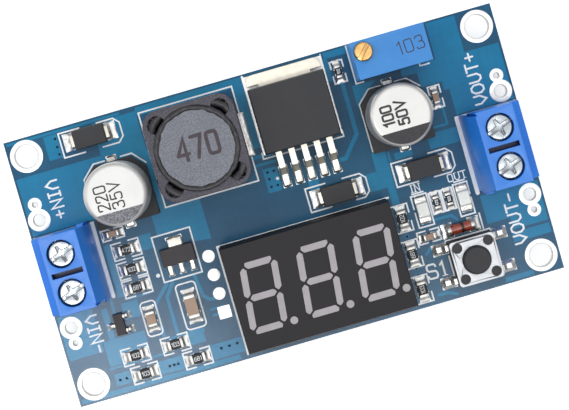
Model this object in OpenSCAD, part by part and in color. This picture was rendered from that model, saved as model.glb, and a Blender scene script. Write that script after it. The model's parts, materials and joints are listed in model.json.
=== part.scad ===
// Step-down power converter module with a digital meter.
// All sizes are in millimetres. Z is 0 on the board's underside, X runs along its length,
// and the origin is the middle of the four mounting holes.

/* [Board] */
// Length of the circuit board
board_l = 66; // [66:0.5:80]
// Width of the circuit board
board_w = 36; // [36:0.5:44]
// Thickness of the circuit board
board_t = 1.6; // [1:0.1:2]
// Diameter of a mounting hole
hole_d = 3.2; // [2.6:0.1:3.6]
// Distance from a mounting hole's axis to each board edge
hole_inset = 2.45; // [2.3:0.05:3]
// Width of the tinned ring round a mounting hole
hole_ring = 0.55; // [0.2:0.05:0.6]
// Thickness of a tinned copper pad
pad_t = 0.05; // [0.03:0.01:0.1]
// Margin of a pad past the lead that stands on it
pad_margin = 0.25; // [0.1:0.05:0.4]
// How far the trimmed pins stand out under the board
pin_out = 1.9; // [1.5:0.1:2.5]
// Gap all round a pin in its board hole
pin_gap = 0.15; // [0.1:0.05:0.25]
// Height of a solder cone under the board
cone_h = 1.1; // [0.6:0.1:1.4]
// Width of the solder round a pin, at the board
cone_w = 0.55; // [0.3:0.05:0.6]
// Clearance of the solder round a pin
cone_gap = 0.02; // [0.01:0.01:0.05]

/* [Wire pads] */
// Diameter of the hole for a thick wire
thick_wire_hole = 1.7; // [1.2:0.1:2]
// Diameter of the tinned pad round it
thick_wire_pad = 2.95; // [2.6:0.05:3.2]
// Diameter of the hole for a thin wire
thin_wire_hole = 0.8; // [0.6:0.1:1]
// Diameter of the tinned pad round it
thin_wire_pad = 1.8; // [1.4:0.05:2]
// Distance between the two holes of a pair
wire_hole_pitch = 2.1; // [2:0.05:2.4]
// Distance from the wire holes to the board's end
wire_hole_inset = 1.7; // [1.6:0.05:2]
// Distances from the terminal blocks' sides to the thick wires' holes: input +, input -,
// output +, output -
wire_hole_sides = [2.12, 2.42, 1.62, 2.27];
// Diameter of a round test pad
test_pad_d = 1.65; // [1.2:0.05:2]
// Distance between test pads
test_pad_pitch = 2.54; // [2.2:0.02:2.8]

/* [Terminal blocks] */
// Distance between the poles
term_pitch = 5.08; // [4.9:0.02:5.3]
// Depth of the housing, from its back to the wire entries
term_depth = 7.4; // [7.2:0.1:8]
// Height of the housing
term_h = 10; // [9.9:0.1:11]
// Distance from the housing's front to the board's end
term_edge_gap = 0.55; // [0.2:0.05:1.2]
// Distance from the housing's back to the screws
term_screw_back = 3.65; // [3.5:0.05:3.9]
// Depth of the flat top, from the edge of its rear slope
term_top_depth = 4.88; // [4.7:0.02:5]
// Distance from the housing's back to its flat top
term_slope_depth = 1.07; // [0.6:0.01:1.2]
// Height at which the rear slope starts
term_slope_z = 6.5; // [5:0.1:8]
// Height of the step over the wire entries
term_step_z = 5.9; // [5.6:0.1:6.4]
// Drop of the step towards the front
term_step_drop = 0.5; // [0.1:0.1:0.8]
// Width of the dovetail rib that joins blocks side by side
rib_w = 1.0; // [0.6:0.1:1.2]
// How far the rib stands out
rib_out = 0.35; // [0.2:0.05:0.5]
// Length of the slot between the screws
term_slot_l = 4.0; // [3:0.1:4.4]
// Width of the slot between the screws
term_slot_w = 0.65; // [0.4:0.05:0.7]
// Depth of the slot between the screws
term_slot_deep = 2.5; // [1:0.1:4]
// Thickness of the housing's floor
term_floor = 0.85; // [0.6:0.05:1.1]

/* [Terminal contacts] */
// Width of a contact frame
cage_w = 3.6; // [3.4:0.05:3.7]
// Length of a contact frame's top and bottom plates
cage_l = 4.5; // [4.3:0.05:4.6]
// How far the frame reaches behind the screw
cage_back = 2.6; // [2.4:0.05:2.8]
// Thickness of the frame's bottom and back plates
cage_t = 0.6; // [0.4:0.05:0.7]
// Thickness of the threaded top plate
cage_top_t = 1.0; // [0.8:0.05:1.1]
// Height of the space for the wire, over the bottom plate
wire_space = 2.8; // [2.75:0.05:3]
// Clearance of a contact frame in its housing
cage_gap = 0.05; // [0.03:0.01:0.1]
// Width of a wire entry
entry_w = 3.4; // [3:0.1:3.6]
// Width of the chamfer round a wire entry
entry_chamfer = 0.3; // [0.1:0.05:0.4]
// Diameter of a terminal pin
term_pin_d = 1.0; // [0.8:0.05:1.1]

/* [Terminal screws] */
// Diameter of the screw's shank
screw_d = 2.5; // [2:0.1:2.8]
// Pitch of the screw's thread
screw_pitch = 0.45; // [0.4:0.05:0.5]
// Turns from fully open to fully closed
screw_turns = 5; // [3:1:5]
// Radial clearance of the shank in its threaded plate
screw_gap = 0.05; // [0.02:0.01:0.1]
// Diameter of the screw's head
head_d = 3.3; // [3:0.05:3.4]
// Height of the screw's head
head_h = 1.9; // [1.6:0.05:2.1]
// Radial clearance of the head in the housing
head_gap = 0.15; // [0.08:0.01:0.2]
// Gap between a closed screw's head and the contact frame
head_stop_gap = 0.1; // [0.05:0.01:0.3]
// Width of the driver slot
drive_slot = 0.55; // [0.4:0.05:0.7]
// Depth of the driver slot
drive_slot_deep = 0.7; // [0.4:0.05:0.9]
// Reach of the cross recess from the axis
cross_r = 1.15; // [0.8:0.05:1.3]
// Width of the cross recess at its root
cross_root = 0.42; // [0.3:0.02:0.5]
// Depth of the cross recess
cross_deep = 1.1; // [0.6:0.1:1.3]
// Thickness of the wire clamp under a screw
clamp_t = 0.4; // [0.3:0.05:0.45]
// Side clearance of a wire clamp in its housing
clamp_gap = 0.3; // [0.2:0.05:0.4]
// Bevel under the clamp's front edge
clamp_bevel = 0.25; // [0.1:0.05:0.3]

/* [Display] */
// Length of the display
disp_l = 22.5; // [22:0.1:23]
// Width of the display
disp_w = 14; // [13.8:0.1:14.4]
// Height of the display
disp_h = 7.2; // [6.5:0.1:8]
// Wall round the hollow under the display
disp_wall = 1.2; // [0.8:0.1:1.5]
// Depth of the hollow under the display
disp_hollow = 1.8; // [1.5:0.1:2.4]
// Height of a digit
digit_h = 9.2; // [8.8:0.1:9.4]
// Width of a digit, over its segments
digit_w = 4.95; // [4.7:0.05:5.1]
// Distance between digits
digit_pitch = 7.45; // [7.2:0.05:7.5]
// Width of a segment
seg_w = 0.85; // [0.7:0.01:1]
// Gap between the points of two segments
seg_gap = 0.26; // [0.2:0.02:0.4]
// Radius of a segment's corners
seg_round = 0.16; // [0.05:0.01:0.2]
// Lean of the digits in degrees
digit_lean = 6; // [0:1:10]
// Diameter of a decimal point
point_d = 1.0; // [0.8:0.05:1.1]
// Distance from a digit's middle to its decimal point
point_x = 2.85; // [2.8:0.05:3.1]
// Depth of the clear segments in the face
seg_deep = 0.6; // [0.3:0.1:1]
// Clearance round a segment in its pocket
seg_fit = 0.02; // [0.01:0.01:0.04]
// Distance between display pins
disp_pin_pitch = 2.54; // [2.3:0.02:2.6]
// Distance from a row of display pins to the display's side
disp_pin_inset = 1.92; // [1.75:0.01:2.1]
// Diameter of a display pin
disp_pin_d = 0.5; // [0.4:0.05:0.6]

/* [Trimmer] */
// Length of the trimmer
trim_l = 9.53; // [9.2:0.01:9.8]
// Width of the trimmer
trim_w = 4.83; // [4.5:0.01:5]
// Height of the trimmer's housing
trim_h = 10.0; // [9:0.1:10.5]
// Height of the trimmer's feet
trim_foot_h = 0.4; // [0.2:0.05:0.6]
// Diameter of the adjusting screw
trim_screw_d = 2.3; // [2:0.05:2.4]
// Distance from the adjusting screw's axis to the trimmer's end
trim_screw_end = 1.35; // [1.3:0.01:1.6]
// Distance from the adjusting screw's axis to the trimmer's side
trim_screw_side = 1.5; // [1.4:0.02:1.7]
// How far the adjusting screw stands out
trim_screw_out = 0.7; // [0.4:0.05:1.2]
// Depth of the adjusting screw's seat
trim_seat = 2.0; // [1.5:0.1:3]
// Radial clearance of the adjusting screw
trim_screw_gap = 0.06; // [0.02:0.01:0.1]
// Distance between the trimmer's pins
trim_pin_pitch = 2.54; // [2.3:0.02:2.8]
// Diameter of a trimmer pin
trim_pin_d = 0.5; // [0.4:0.05:0.6]

/* [Capacitors] */
// Diameter of a capacitor can
can_d = 8.1; // [7.7:0.05:8.2]
// Height of a capacitor with its base
can_h = 10.3; // [8:0.1:11]
// Radius of the can's top edge
can_round = 0.6; // [0.3:0.05:1]
// Margin of a capacitor's square base round its can
cap_base_margin = 0.1; // [0.05:0.05:0.2]
// Thickness of a capacitor's base
cap_base_t = 1.0; // [0.8:0.05:1.4]
// Size of the base's two cut corners
cap_base_cut = 1.7; // [1:0.1:2]
// Height of the groove rolled into the can
can_groove_z = 2.6; // [2.4:0.1:3.2]
// Depth of the groove rolled into the can
can_groove = 0.35; // [0.2:0.05:0.45]
// Width of a capacitor's lead
cap_lead_w = 0.9; // [0.7:0.05:1.1]
// Thickness of a capacitor's lead
cap_lead_t = 0.3; // [0.2:0.02:0.35]
// How far a capacitor's lead reaches past its base
cap_lead_out = 0.5; // [0.3:0.05:0.6]

/* [Inductor] */
// Width of the inductor's square shield
coil_w = 12; // [11.8:0.1:12.2]
// Height of the inductor over its clips
coil_h = 8; // [6.5:0.1:8.5]
// Radius of the shield's corners
coil_round = 2.2; // [1.6:0.1:2.6]
// Thickness of the plate under the core
coil_base_t = 0.8; // [0.6:0.1:1.2]
// Diameter of the drum core's ends
core_d = 9.9; // [9.5:0.1:10]
// Thickness of the drum core's ends
core_end_t = 1.3; // [1:0.1:1.6]
// Diameter of the drum core's neck
core_neck_d = 5; // [4:0.1:5.5]
// Gap between the core and its shield
core_gap = 0.5; // [0.3:0.05:0.55]
// Diameter of the winding's wire
coil_wire_d = 0.55; // [0.4:0.05:0.7]
// Width of a solder clip
clip_w = 5; // [4:0.1:6]
// Height of a solder clip up the side
clip_h = 2.4; // [1.8:0.1:3]
// Thickness of a solder clip
clip_t = 0.2; // [0.15:0.01:0.3]

/* [Regulator] */
// Width of the regulator's body
reg_w = 10.2; // [10:0.05:10.4]
// Length of the regulator's body
reg_l = 8.75; // [8.6:0.05:8.9]
// Height of the regulator's body
reg_h = 4.4; // [4.2:0.1:4.7]
// Thickness of the regulator's tab
reg_tab_t = 1.3; // [1.1:0.05:1.4]
// How far the tab reaches past the body
reg_tab_out = 1.75; // [1.5:0.05:1.8]
// Distance between the regulator's leads
reg_lead_pitch = 1.7; // [1.6:0.02:1.75]
// Width of a regulator lead
reg_lead_w = 0.8; // [0.6:0.05:0.9]
// Thickness of a regulator lead
reg_lead_t = 0.5; // [0.35:0.05:0.6]
// Height at which the regulator's leads leave the body
reg_lead_z = 2.3; // [2:0.1:2.6]
// Length of the leads from the body to their toes
reg_lead_out = 4.55; // [4.3:0.05:4.7]

/* [Button] */
// Width of the button's square housing
btn_w = 6; // [5.9:0.05:6.2]
// Height of the button's housing with its cover
btn_h = 3.5; // [3.2:0.1:4]
// Thickness of the button's cover
btn_cover_t = 0.3; // [0.2:0.05:0.4]
// Diameter of the plunger
btn_d = 3.5; // [3:0.05:3.6]
// How far the plunger stands out
btn_out = 0.8; // [0.6:0.05:2]
// How far the plunger travels
btn_travel = 0.25; // [0.15:0.05:0.35]
// Gap between the plunger and the cover
btn_gap = 0.12; // [0.08:0.01:0.2]
// Width of the flange that keeps the plunger in
btn_flange = 0.4; // [0.3:0.05:0.5]
// Distance from the middle to each cover rivet, along each side
btn_rivet = 2.08; // [2.05:0.01:2.15]
// Diameter of a cover rivet
btn_rivet_d = 1.25; // [1:0.05:1.3]
// Width of a button lead
btn_lead_w = 0.8; // [0.6:0.05:1]
// Distance between the leads on one side
btn_lead_pitch = 4.5; // [4.4:0.05:4.7]
// How far a button lead reaches past the housing
btn_lead_out = 1.55; // [1.4:0.05:1.7]

/* [Small parts] */
// Length, width and height of a power diode's body
diode_size = [4.3, 2.6, 2.2];
// Width of a power diode's lead
diode_lead_w = 1.5; // [1.3:0.05:1.7]
// How far a power diode's lead stands out of its body
diode_lead_out = 0.4; // [0.3:0.05:0.5]
// Diameter of the glass diode
glass_d = 1.45; // [1.3:0.05:1.6]
// Length of the glass diode with its caps
glass_l = 3.6; // [3.4:0.05:3.8]
// Length of a glass diode's metal cap
glass_cap_l = 0.45; // [0.35:0.05:0.6]
// Length, width, height and end length of a large resistor
large_resistor = [2.0, 1.25, 0.55, 0.35];
// Length, width, height and end length of a small resistor
small_resistor = [1.6, 0.8, 0.45, 0.3];
// Length, width, height and end length of a small ceramic capacitor
small_ceramic = [1.6, 0.8, 0.8, 0.3];
// Length, width, height and end length of a medium ceramic capacitor
medium_ceramic = [2.0, 1.25, 1.0, 0.4];
// Length, width, height and end length of a large ceramic capacitor
large_ceramic = [3.1, 1.55, 1.2, 0.5];
// Length, width, height and end length of a lamp's base
lamp_base = [3.3, 1.5, 0.4, 0.6];
// Length of a lamp's clear dome at its foot
lamp_lens_l = 2.0; // [1.6:0.05:2.05]
// Height of a lamp's clear dome over its base
lamp_lens_h = 0.7; // [0.4:0.05:0.9]
// Length, width and height of the meter's regulator
meter_reg_size = [4.5, 2.4, 1.5];
// Length, width and height of the transistor
transistor_size = [2.9, 1.3, 1.0];
// Length, width and height of the meter's controller
chip_size = [6.5, 4.4, 1.0];
// Number of leads on each side of the controller
chip_leads = 10; // [7:1:10]
// Distance between the controller's leads
chip_lead_pitch = 0.65; // [0.55:0.01:0.65]
// Draft of moulded bodies in degrees
draft = 5; // [1:1:7]

/* [Hidden] */

$fn = 48;
cut = 0.1;       // how far a cutting shape passes the face that it cuts
seat = 0.02;     // gap between a moving piece and the face that it rests on
half_turn = 180;

function sum(v, n) = n > 0 ? v[n - 1] + sum(v, n - 1) : 0;

// Middles of parts in a line between two limits: what their lengths leave free is shared out
// over the gaps before, between and after them, in proportion to the gaps given
function line_up(from, to, lengths, gaps) = let(n = len(lengths),
    share = (to - from - sum(lengths, n)) / sum(gaps, n + 1)) [for (i = [0:n - 1])
    from + sum(lengths, i) + lengths[i] / 2 + share * sum(gaps, i + 1)];

// Room that parts take on the board with their pads
grow = 2 * pad_margin;
cap_base_w = can_d + 2 * cap_base_margin;
cap_lead_span = cap_base_w + 2 * cap_lead_out;
diode_span = diode_size[0] + 2 * diode_lead_out;
btn_lead_span = btn_w + 2 * btn_lead_out;
hole_ring_r = hole_d / 2 + hole_ring;
function chip_room(size) = size[0] + 3 * grow;
function chip_side(size) = size[1] + grow / 2;
reg_room = reg_tab_out + reg_l + reg_lead_out;
meter_lead_out = 1.15;                 // reach of the meter regulator's leads
meter_tab_out = 1.05;                  // reach of its tab
meter_room = meter_lead_out + meter_reg_size[1] + meter_tab_out + 2 * pad_margin;
lamp_room = lamp_base[0] + 2 * grow;
glass_room = glass_l + 3 * grow;
ceramic_step = 5.0;                    // from the input capacitor to the ceramic one under it

// Lines of parts along the board: between the terminal blocks at the capacitors and at the
// display, then at the trimmer, at the glass diode and at the button
inner = board_l / 2 - term_edge_gap - term_depth;
ring_edge = board_l / 2 - hole_inset - hole_ring_r;
top_xs = line_up(-inner, inner, [cap_base_w, coil_w + 2 * clip_t, reg_w, cap_base_w],
    [0.9, 1.05, 1.86, 3.44, 3.65]);
low_xs = line_up(-inner, inner, [chip_room(large_resistor), meter_reg_size[0], test_pad_d,
    disp_l, chip_side(large_resistor), lamp_base[1], chip_side(small_resistor),
    chip_side(small_resistor), lamp_base[1]],
    [1.8, 2.35, 0.68, 0.95, 0.68, 1.4, 0.72, 0.65, 0.62, 1.5]);
past_column = low_xs[4] + chip_side(large_resistor) / 2;
trim_xs = line_up(top_xs[2] + reg_w / 2, ring_edge, [chip_side(small_resistor), trim_l],
    [1.4, 1.36, 5.4]);
glass_xs = line_up(past_column, ring_edge, [chip_room(small_ceramic), glass_room],
    [0.5, 0.15, 4.5]);
btn_xs = line_up(past_column, ring_edge, [btn_lead_span + grow], [2.1, 1.65]);

// Lines of parts across the board, from its lower edge up: at the input capacitor, the
// inductor, the regulator, the output capacitor, and beside the display
low_edge = -board_w / 2;
high_edge = board_w / 2;
input_ys = line_up(low_edge, high_edge, [chip_side(large_resistor),
    chip_side(large_resistor), chip_room(medium_ceramic), chip_side(large_resistor),
    chip_side(large_resistor), chip_side(large_resistor),
    cap_lead_span / 2 + pad_margin + ceramic_step + chip_side(small_ceramic) / 2,
    diode_size[1]], [1.2, 1.15, 1.55, 2, 0.95, 1.15, 1.23, 1.8, 0.95]);
coil_ys = line_up(low_edge, high_edge, [chip_side(large_resistor), chip_side(large_resistor),
    chip_room(large_ceramic), meter_room, coil_w], [1.2, 1.1, 1.2, 2.1, 4.2, 1.55]);
reg_ys = line_up(low_edge, high_edge, [disp_w, diode_size[1], reg_room],
    [1.28, 1.14, 1.48, 0.45]);
output_ys = line_up(low_edge, high_edge, [btn_w, glass_d + grow, lamp_room, diode_size[1],
    cap_lead_span + grow, trim_w], [1.55, 0.37, 0.48, 1.85, 1.4, 0.65, 0.22]);
column_ys = line_up(low_edge, output_ys[4] - cap_lead_span / 2 - pad_margin,
    [for (i = [0:2]) chip_room(large_resistor)], [0.7, 1.3, 1.35, 6.65]);

// Places of the parts: x, y and turn
in_cap_place = [top_xs[0], input_ys[6] + (ceramic_step + chip_side(small_ceramic) / 2
    - cap_lead_span / 2 - pad_margin) / 2, 0];
out_cap_place = [top_xs[3], output_ys[4], 0];
coil_place = [top_xs[1], coil_ys[4], 0];
reg_place = [top_xs[2], reg_ys[2] + (reg_lead_out - reg_tab_out) / 2, 0];
disp_place = [low_xs[3], reg_ys[0], 0];
trim_place = [trim_xs[1], output_ys[5], 0];
btn_place = [btn_xs[0], output_ys[0], 0];
glass_place = [glass_xs[1], output_ys[1], 0];
meter_reg_place = [low_xs[1], coil_ys[3] + (meter_lead_out - meter_tab_out) / 2, 0];
transistor_place = [low_xs[0] - 3.5, input_ys[2] + 0.45, 90];
test_pad_place = [low_xs[2], disp_place[1] - 1.48, 0];
diode_places = [[top_xs[0] - 1.85, input_ys[7], 0], [top_xs[2] + 2.56, reg_ys[1], 0],
    [top_xs[3] + 1.6, output_ys[3], 0]];
lamp_places = [[low_xs[5], output_ys[2], 90], [low_xs[8], output_ys[2], 90]];
large_resistor_places = [[low_xs[0], input_ys[5], 0], [low_xs[0], input_ys[4], 0],
    [low_xs[0], input_ys[3], 0], [low_xs[0] - 2.65, input_ys[1], 0],
    [low_xs[0] + 2.75, coil_ys[1], 0], [low_xs[0] - 2.05, input_ys[0], 0],
    [low_xs[0] + 5.05, coil_ys[0], 0],
    for (y = column_ys) [low_xs[4], y, 90]];
small_resistor_places = [[trim_xs[0], output_ys[5] - 0.47, 90],
    [low_xs[6], output_ys[2] + 0.42, 90], [low_xs[7], output_ys[2] + 0.42, 90]];
small_ceramic_places = [[top_xs[0] - 2.6, in_cap_place[1] - ceramic_step, 0],
    [top_xs[3] + 5.6, output_ys[4] + 0.75, 90], [glass_xs[0], output_ys[1] - 0.05, 0]];
medium_ceramic_places = [[low_xs[0] + 0.65, input_ys[2], 90]];
large_ceramic_places = [[low_xs[1] - 0.15, coil_ys[2], 90]];

// Heights of the seats on the board and on its pads
pad_top = board_t + pad_t;
hole_x = board_l / 2 - hole_inset;
hole_y = board_w / 2 - hole_inset;
wire_x = board_l / 2 - wire_hole_inset;

// Terminal block, measured from the screws' middle, with the wires coming from +X
term_front = term_depth - term_screw_back;
term_w = 2 * term_pitch;
term_y = -0.1;
term_x = board_l / 2 - term_edge_gap - term_front;
poles = [-term_pitch / 2, term_pitch / 2];

// Thick wire hole of each pair: x, y and the way to its thin neighbour
wire_pairs = [for (i = [0:3]) let(side = i < 2 ? -1 : 1, way = i % 2 == 0 ? 1 : -1)
    [side * wire_x, term_y + way * (term_w / 2 + wire_hole_sides[i]), way]];

top_back = -term_screw_back + term_slope_depth;
top_front = top_back + term_top_depth;
cage_front = cage_l - cage_back;
wire_floor = term_floor + cage_gap + cage_t;
wire_ceiling = wire_floor + wire_space;
cage_top = wire_ceiling + cage_top_t;
screw_travel = screw_turns * screw_pitch;
head_z = cage_top + head_stop_gap + screw_travel;
tip_z = wire_ceiling - seat;
clamp_top = wire_ceiling - cage_gap;
clamp_w = cage_w + 2 * cage_gap - 2 * clamp_gap;
clamp_back = cage_back - cage_t - clamp_gap;
clamp_front = cage_front - clamp_gap;

// Pins through the board: x, y, diameter
term_pins = [for (side = [-1, 1], y = poles) [side * term_x, term_y + y, term_pin_d]];
trim_pins = [for (i = [-1:1]) [trim_place[0] + i * trim_pin_pitch, trim_place[1],
    trim_pin_d]];
disp_pin_count = 6;
disp_pins = [for (side = [-1, 1], i = [0:disp_pin_count - 1])
    [disp_place[0] + (i - (disp_pin_count - 1) / 2) * disp_pin_pitch,
    disp_place[1] + side * (disp_w / 2 - disp_pin_inset), disp_pin_d]];
pins = concat(term_pins, trim_pins, disp_pins);

unit_x = [1, 0];
function unit(v) = v / norm(v);
// Arc that rounds the corner b between a and c, in a few steps
corner_steps = 2;
function corner_arc(a, b, c, r) = let(u = unit(a - b), v = unit(c - b), half = acos(u * v) / 2,
    centre = b + unit(u + v) * r / sin(half), s = b + u * r / tan(half) - centre,
    e = b + v * r / tan(half) - centre)
    [for (i = [0:corner_steps]) centre + r * unit(s + (e - s) * i / corner_steps)];
function rounded(pts, r) = let(n = len(pts))
    [for (i = [0:n - 1]) each corner_arc(pts[(i + n - 1) % n], pts[i], pts[(i + 1) % n], r)];

module at(p) {
    translate([p[0], p[1], pad_top]) rotate(p[2]) children();
}

module centred_box(l, w, h, z = 0) {
    translate([-l / 2, -w / 2, z]) cube([l, w, h]);
}

module rounded_square(l, w, r) {
    square([l - 2 * r, w], center = true);
    square([l, w - 2 * r], center = true);
    for (x = [-1, 1], y = [-1, 1])
        translate([x * (l / 2 - r), y * (w / 2 - r)]) circle(r);
}

// Upright profile in X and Z, extruded along Y about the middle
module upright(w) {
    translate([0, w / 2, 0]) rotate([90, 0, 0]) linear_extrude(w) children();
}

// Moulded body whose four sides lean in above and below its parting line
module moulded(size, split) {
    low = split * tan(draft);
    high = (size[2] - split) * tan(draft);
    intersection() {
        upright(size[1]) draft_profile(size[0], size[2], split, low, high);
        rotate(90) upright(size[0]) draft_profile(size[1], size[2], split, low, high);
    }
}

module draft_profile(l, h, split, low, high) {
    polygon([[-l / 2 + low, 0], [l / 2 - low, 0], [l / 2, split], [l / 2 - high, h],
        [-l / 2 + high, h], [-l / 2, split]]);
}

// Strip bent from the body's side down to the pad, as a profile in X and Z: from x0 inside the
// body out to the bend, and on to its toe
function gull(x0, bend, toe, z, t) = [[x0, z], [bend - t, z], [toe - (toe - bend) * 0.6, 0],
    [toe, 0], [toe, t], [toe - (toe - bend) * 0.5, t], [bend, z + t], [x0, z + t]];

// ---- Board ----

module wire_pad_outline() {
    circle(d = thick_wire_pad);
    translate([0, wire_hole_pitch]) circle(d = thin_wire_pad);
}

module wire_pad_holes() {
    circle(d = thick_wire_hole);
    translate([0, wire_hole_pitch]) circle(d = thin_wire_hole);
}

module at_wire_pairs() {
    for (p = wire_pairs)
        translate([p[0], p[1]]) rotate(p[2] > 0 ? 0 : half_turn) children();
}

module at_mounting_holes() {
    for (x = [-1, 1], y = [-1, 1]) translate([x * hole_x, y * hole_y]) children();
}

module circuit_board() {
    color("midnightblue") linear_extrude(board_t) difference() {
        square([board_l, board_w], center = true);
        at_mounting_holes() circle(d = hole_d);
        at_wire_pairs() wire_pad_holes();
        for (p = pins) translate([p[0], p[1]]) circle(d = p[2] + 2 * pin_gap);
    }
}

// Pad under a lead: its size and the margin round it
module pad(x, y, l, w) {
    translate([x, y, -pad_t]) centred_box(l, w, pad_t);
}

module pad_pair(span, l, w) {
    for (side = [-1, 1]) pad(side * (span - l) / 2, 0, l, w);
}

module chip_pads(places, size) {
    for (p = places) at(p) pad_pair(size[0] + 3 * grow, size[3] + 2 * grow, size[1] + grow / 2);
}

chip_toe = 3.2;   // half the distance over the controller's leads

module tinned_pads() {
    color("silver") {
        for (z = [-pad_t, board_t]) translate([0, 0, z]) linear_extrude(pad_t) {
            at_mounting_holes() difference() {
                circle(d = hole_d + 2 * hole_ring);
                circle(d = hole_d);
            }
            at_wire_pairs() difference() {
                wire_pad_outline();
                wire_pad_holes();
            }
        }
        translate([0, 0, -pad_t]) linear_extrude(pad_t) for (p = pins)
            translate([p[0], p[1]]) difference() {
                circle(d = p[2] + 2 * pin_gap + 2 * cone_w);
                circle(d = p[2] + 2 * pin_gap);
            }
        test_pads();
        chip_pads(large_resistor_places, large_resistor);
        chip_pads(small_resistor_places, small_resistor);
        chip_pads(small_ceramic_places, small_ceramic);
        chip_pads(medium_ceramic_places, medium_ceramic);
        chip_pads(large_ceramic_places, large_ceramic);
        for (p = lamp_places) at(p) pad_pair(lamp_base[0] + grow, lamp_base[3] + grow,
            lamp_base[1] - grow / 2);
        for (p = diode_places) at(p) pad_pair(diode_span + 4 * grow, 3 * grow,
            diode_size[1] - pad_margin);
        at(glass_place) pad_pair(glass_l + 3 * grow, 3 * grow, glass_d + grow);
        for (p = [in_cap_place, out_cap_place])
            at(p) rotate(90) pad_pair(cap_lead_span + grow, 5 * grow, cap_lead_w + grow);
        at(coil_place) pad_pair(coil_w + 2 * grow, 4 * grow, clip_w + grow);
        regulator_pads();
        at(meter_reg_place) meter_regulator_pads();
        at(transistor_place) transistor_pads();
        at(btn_place) for (y = [-1, 1]) translate([0, y * btn_lead_pitch / 2, 0])
            pad_pair(btn_lead_span + 2 * grow, (btn_lead_span - btn_w) / 2 + grow,
                btn_lead_w + 2 * pad_margin + grow / 2);
        at(disp_place) for (i = [0:chip_leads - 1], side = [-1, 1])
            pad((i - (chip_leads - 1) / 2) * chip_lead_pitch, side * (chip_toe - grow / 2),
                chip_lead_pitch / 2, 2 * grow);
    }
}

test_pad_count = 4;

module test_pads() {
    translate([test_pad_place[0], test_pad_place[1], board_t])
        for (i = [0:test_pad_count - 1]) translate([0, i * test_pad_pitch, 0])
            if (i == 0) centred_box(test_pad_d, test_pad_d, pad_t);
            else cylinder(d = test_pad_d, h = pad_t);
}

module solder_joints() {
    color("lightgray") for (p = pins) translate([p[0], p[1], 0]) rotate_extrude()
        polygon([[p[2] / 2 + cone_gap, -pad_t], [p[2] / 2 + pin_gap + cone_w, -pad_t],
            [p[2] / 2 + cone_w / 2, -pad_t - cone_h * 0.3],
            [p[2] / 2 + 2 * cone_gap + cone_w * 0.1, -pad_t - cone_h],
            [p[2] / 2 + cone_gap, -pad_t - cone_h]]);
}

// ---- Terminal blocks ----

// Both blocks are alike: the one at the input is turned half round
module at_input() {
    translate([-term_x, term_y, board_t]) rotate(half_turn) children();
}

module at_output() {
    translate([term_x, term_y, board_t]) children();
}

module terminal_housing() {
    rib_x = top_back - rib_w / 2 + rib_w * 0.15;
    difference() {
        union() {
            upright(term_w) polygon([[-term_screw_back, 0], [term_front, 0],
                [term_front, term_step_z - term_step_drop], [top_front + 0.15, term_step_z],
                [top_front, term_h], [top_back, term_h], [-term_screw_back, term_slope_z]]);
            translate([rib_x, -term_w / 2, 0]) linear_extrude(term_slope_z)
                dovetail(rib_w, rib_out);
        }
        translate([rib_x, term_w / 2, -cut]) linear_extrude(term_h + 2 * cut)
            dovetail(rib_w + 2 * cage_gap, rib_out + cage_gap);
        translate([(top_back + top_front) / 2, 0, term_h - term_slot_deep])
            centred_box(term_slot_l, term_slot_w, term_slot_deep + cut);
        for (y = poles) translate([0, y, 0]) {
            translate([0, 0, cage_top]) cylinder(d = head_d + 2 * head_gap, h = term_h);
            translate([-cage_back - cage_gap, 0, 0]) terminal_cavity();
            translate([0, 0, -cut]) cylinder(d = term_pin_d + 2 * cage_gap, h = term_h / 2);
            wire_entry();
        }
    }
}

// Rib that is wider at its end, pointing to -Y from the wall it stands on
module dovetail(w, out) {
    polygon([[-w / 2 + out / 2, cut], [-w / 2 + out / 2, 0], [-w / 2, -out], [w / 2, -out],
        [w / 2 - out / 2, 0], [w / 2 - out / 2, cut]]);
}

module terminal_cavity() {
    translate([0, -cage_w / 2 - cage_gap, term_floor])
        cube([cage_l + 2 * cage_gap, cage_w + 2 * cage_gap, cage_top + cage_gap - term_floor]);
}

module wire_entry() {
    l = term_front - cage_front + cut;
    mid = (wire_floor + wire_ceiling) / 2;
    translate([cage_front, -entry_w / 2, wire_floor]) cube([l, entry_w, wire_space]);
    intersection() {
        upright(term_pitch) polygon([[term_front - entry_chamfer, wire_floor],
            [term_front + cut, wire_floor - entry_chamfer - cut],
            [term_front + cut, wire_ceiling + entry_chamfer + cut],
            [term_front - entry_chamfer, wire_ceiling]]);
        translate([0, 0, mid - term_pitch / 2]) linear_extrude(term_pitch)
            polygon([[term_front - entry_chamfer, -entry_w / 2],
                [term_front + cut, -entry_w / 2 - entry_chamfer - cut],
                [term_front + cut, entry_w / 2 + entry_chamfer + cut],
                [term_front - entry_chamfer, entry_w / 2]]);
    }
}

module input_terminal_housing() {
    color("cornflowerblue") at_input() terminal_housing();
}

module output_terminal_housing() {
    color("cornflowerblue") at_output() terminal_housing();
}

// Folded frame with its pin: the wire lies on the bottom plate, the top plate is threaded
module terminal_contacts() {
    for (y = poles) translate([0, y, 0]) {
        difference() {
            upright(cage_w) polygon([[-cage_back, wire_floor - cage_t],
                [cage_front, wire_floor - cage_t], [cage_front, wire_floor],
                [-cage_back + cage_t, wire_floor], [-cage_back + cage_t, wire_ceiling],
                [cage_front, wire_ceiling], [cage_front, cage_top], [-cage_back, cage_top]]);
            translate([0, 0, wire_ceiling - cut])
                cylinder(d = screw_d + 2 * screw_gap, h = cage_top_t + 2 * cut);
        }
        translate([0, 0, -board_t - pin_out])
            cylinder(d = term_pin_d, h = board_t + pin_out + wire_floor - cage_t);
    }
}

module input_contacts() {
    color("goldenrod") at_input() terminal_contacts();
}

module output_contacts() {
    color("goldenrod") at_output() terminal_contacts();
}

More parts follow.
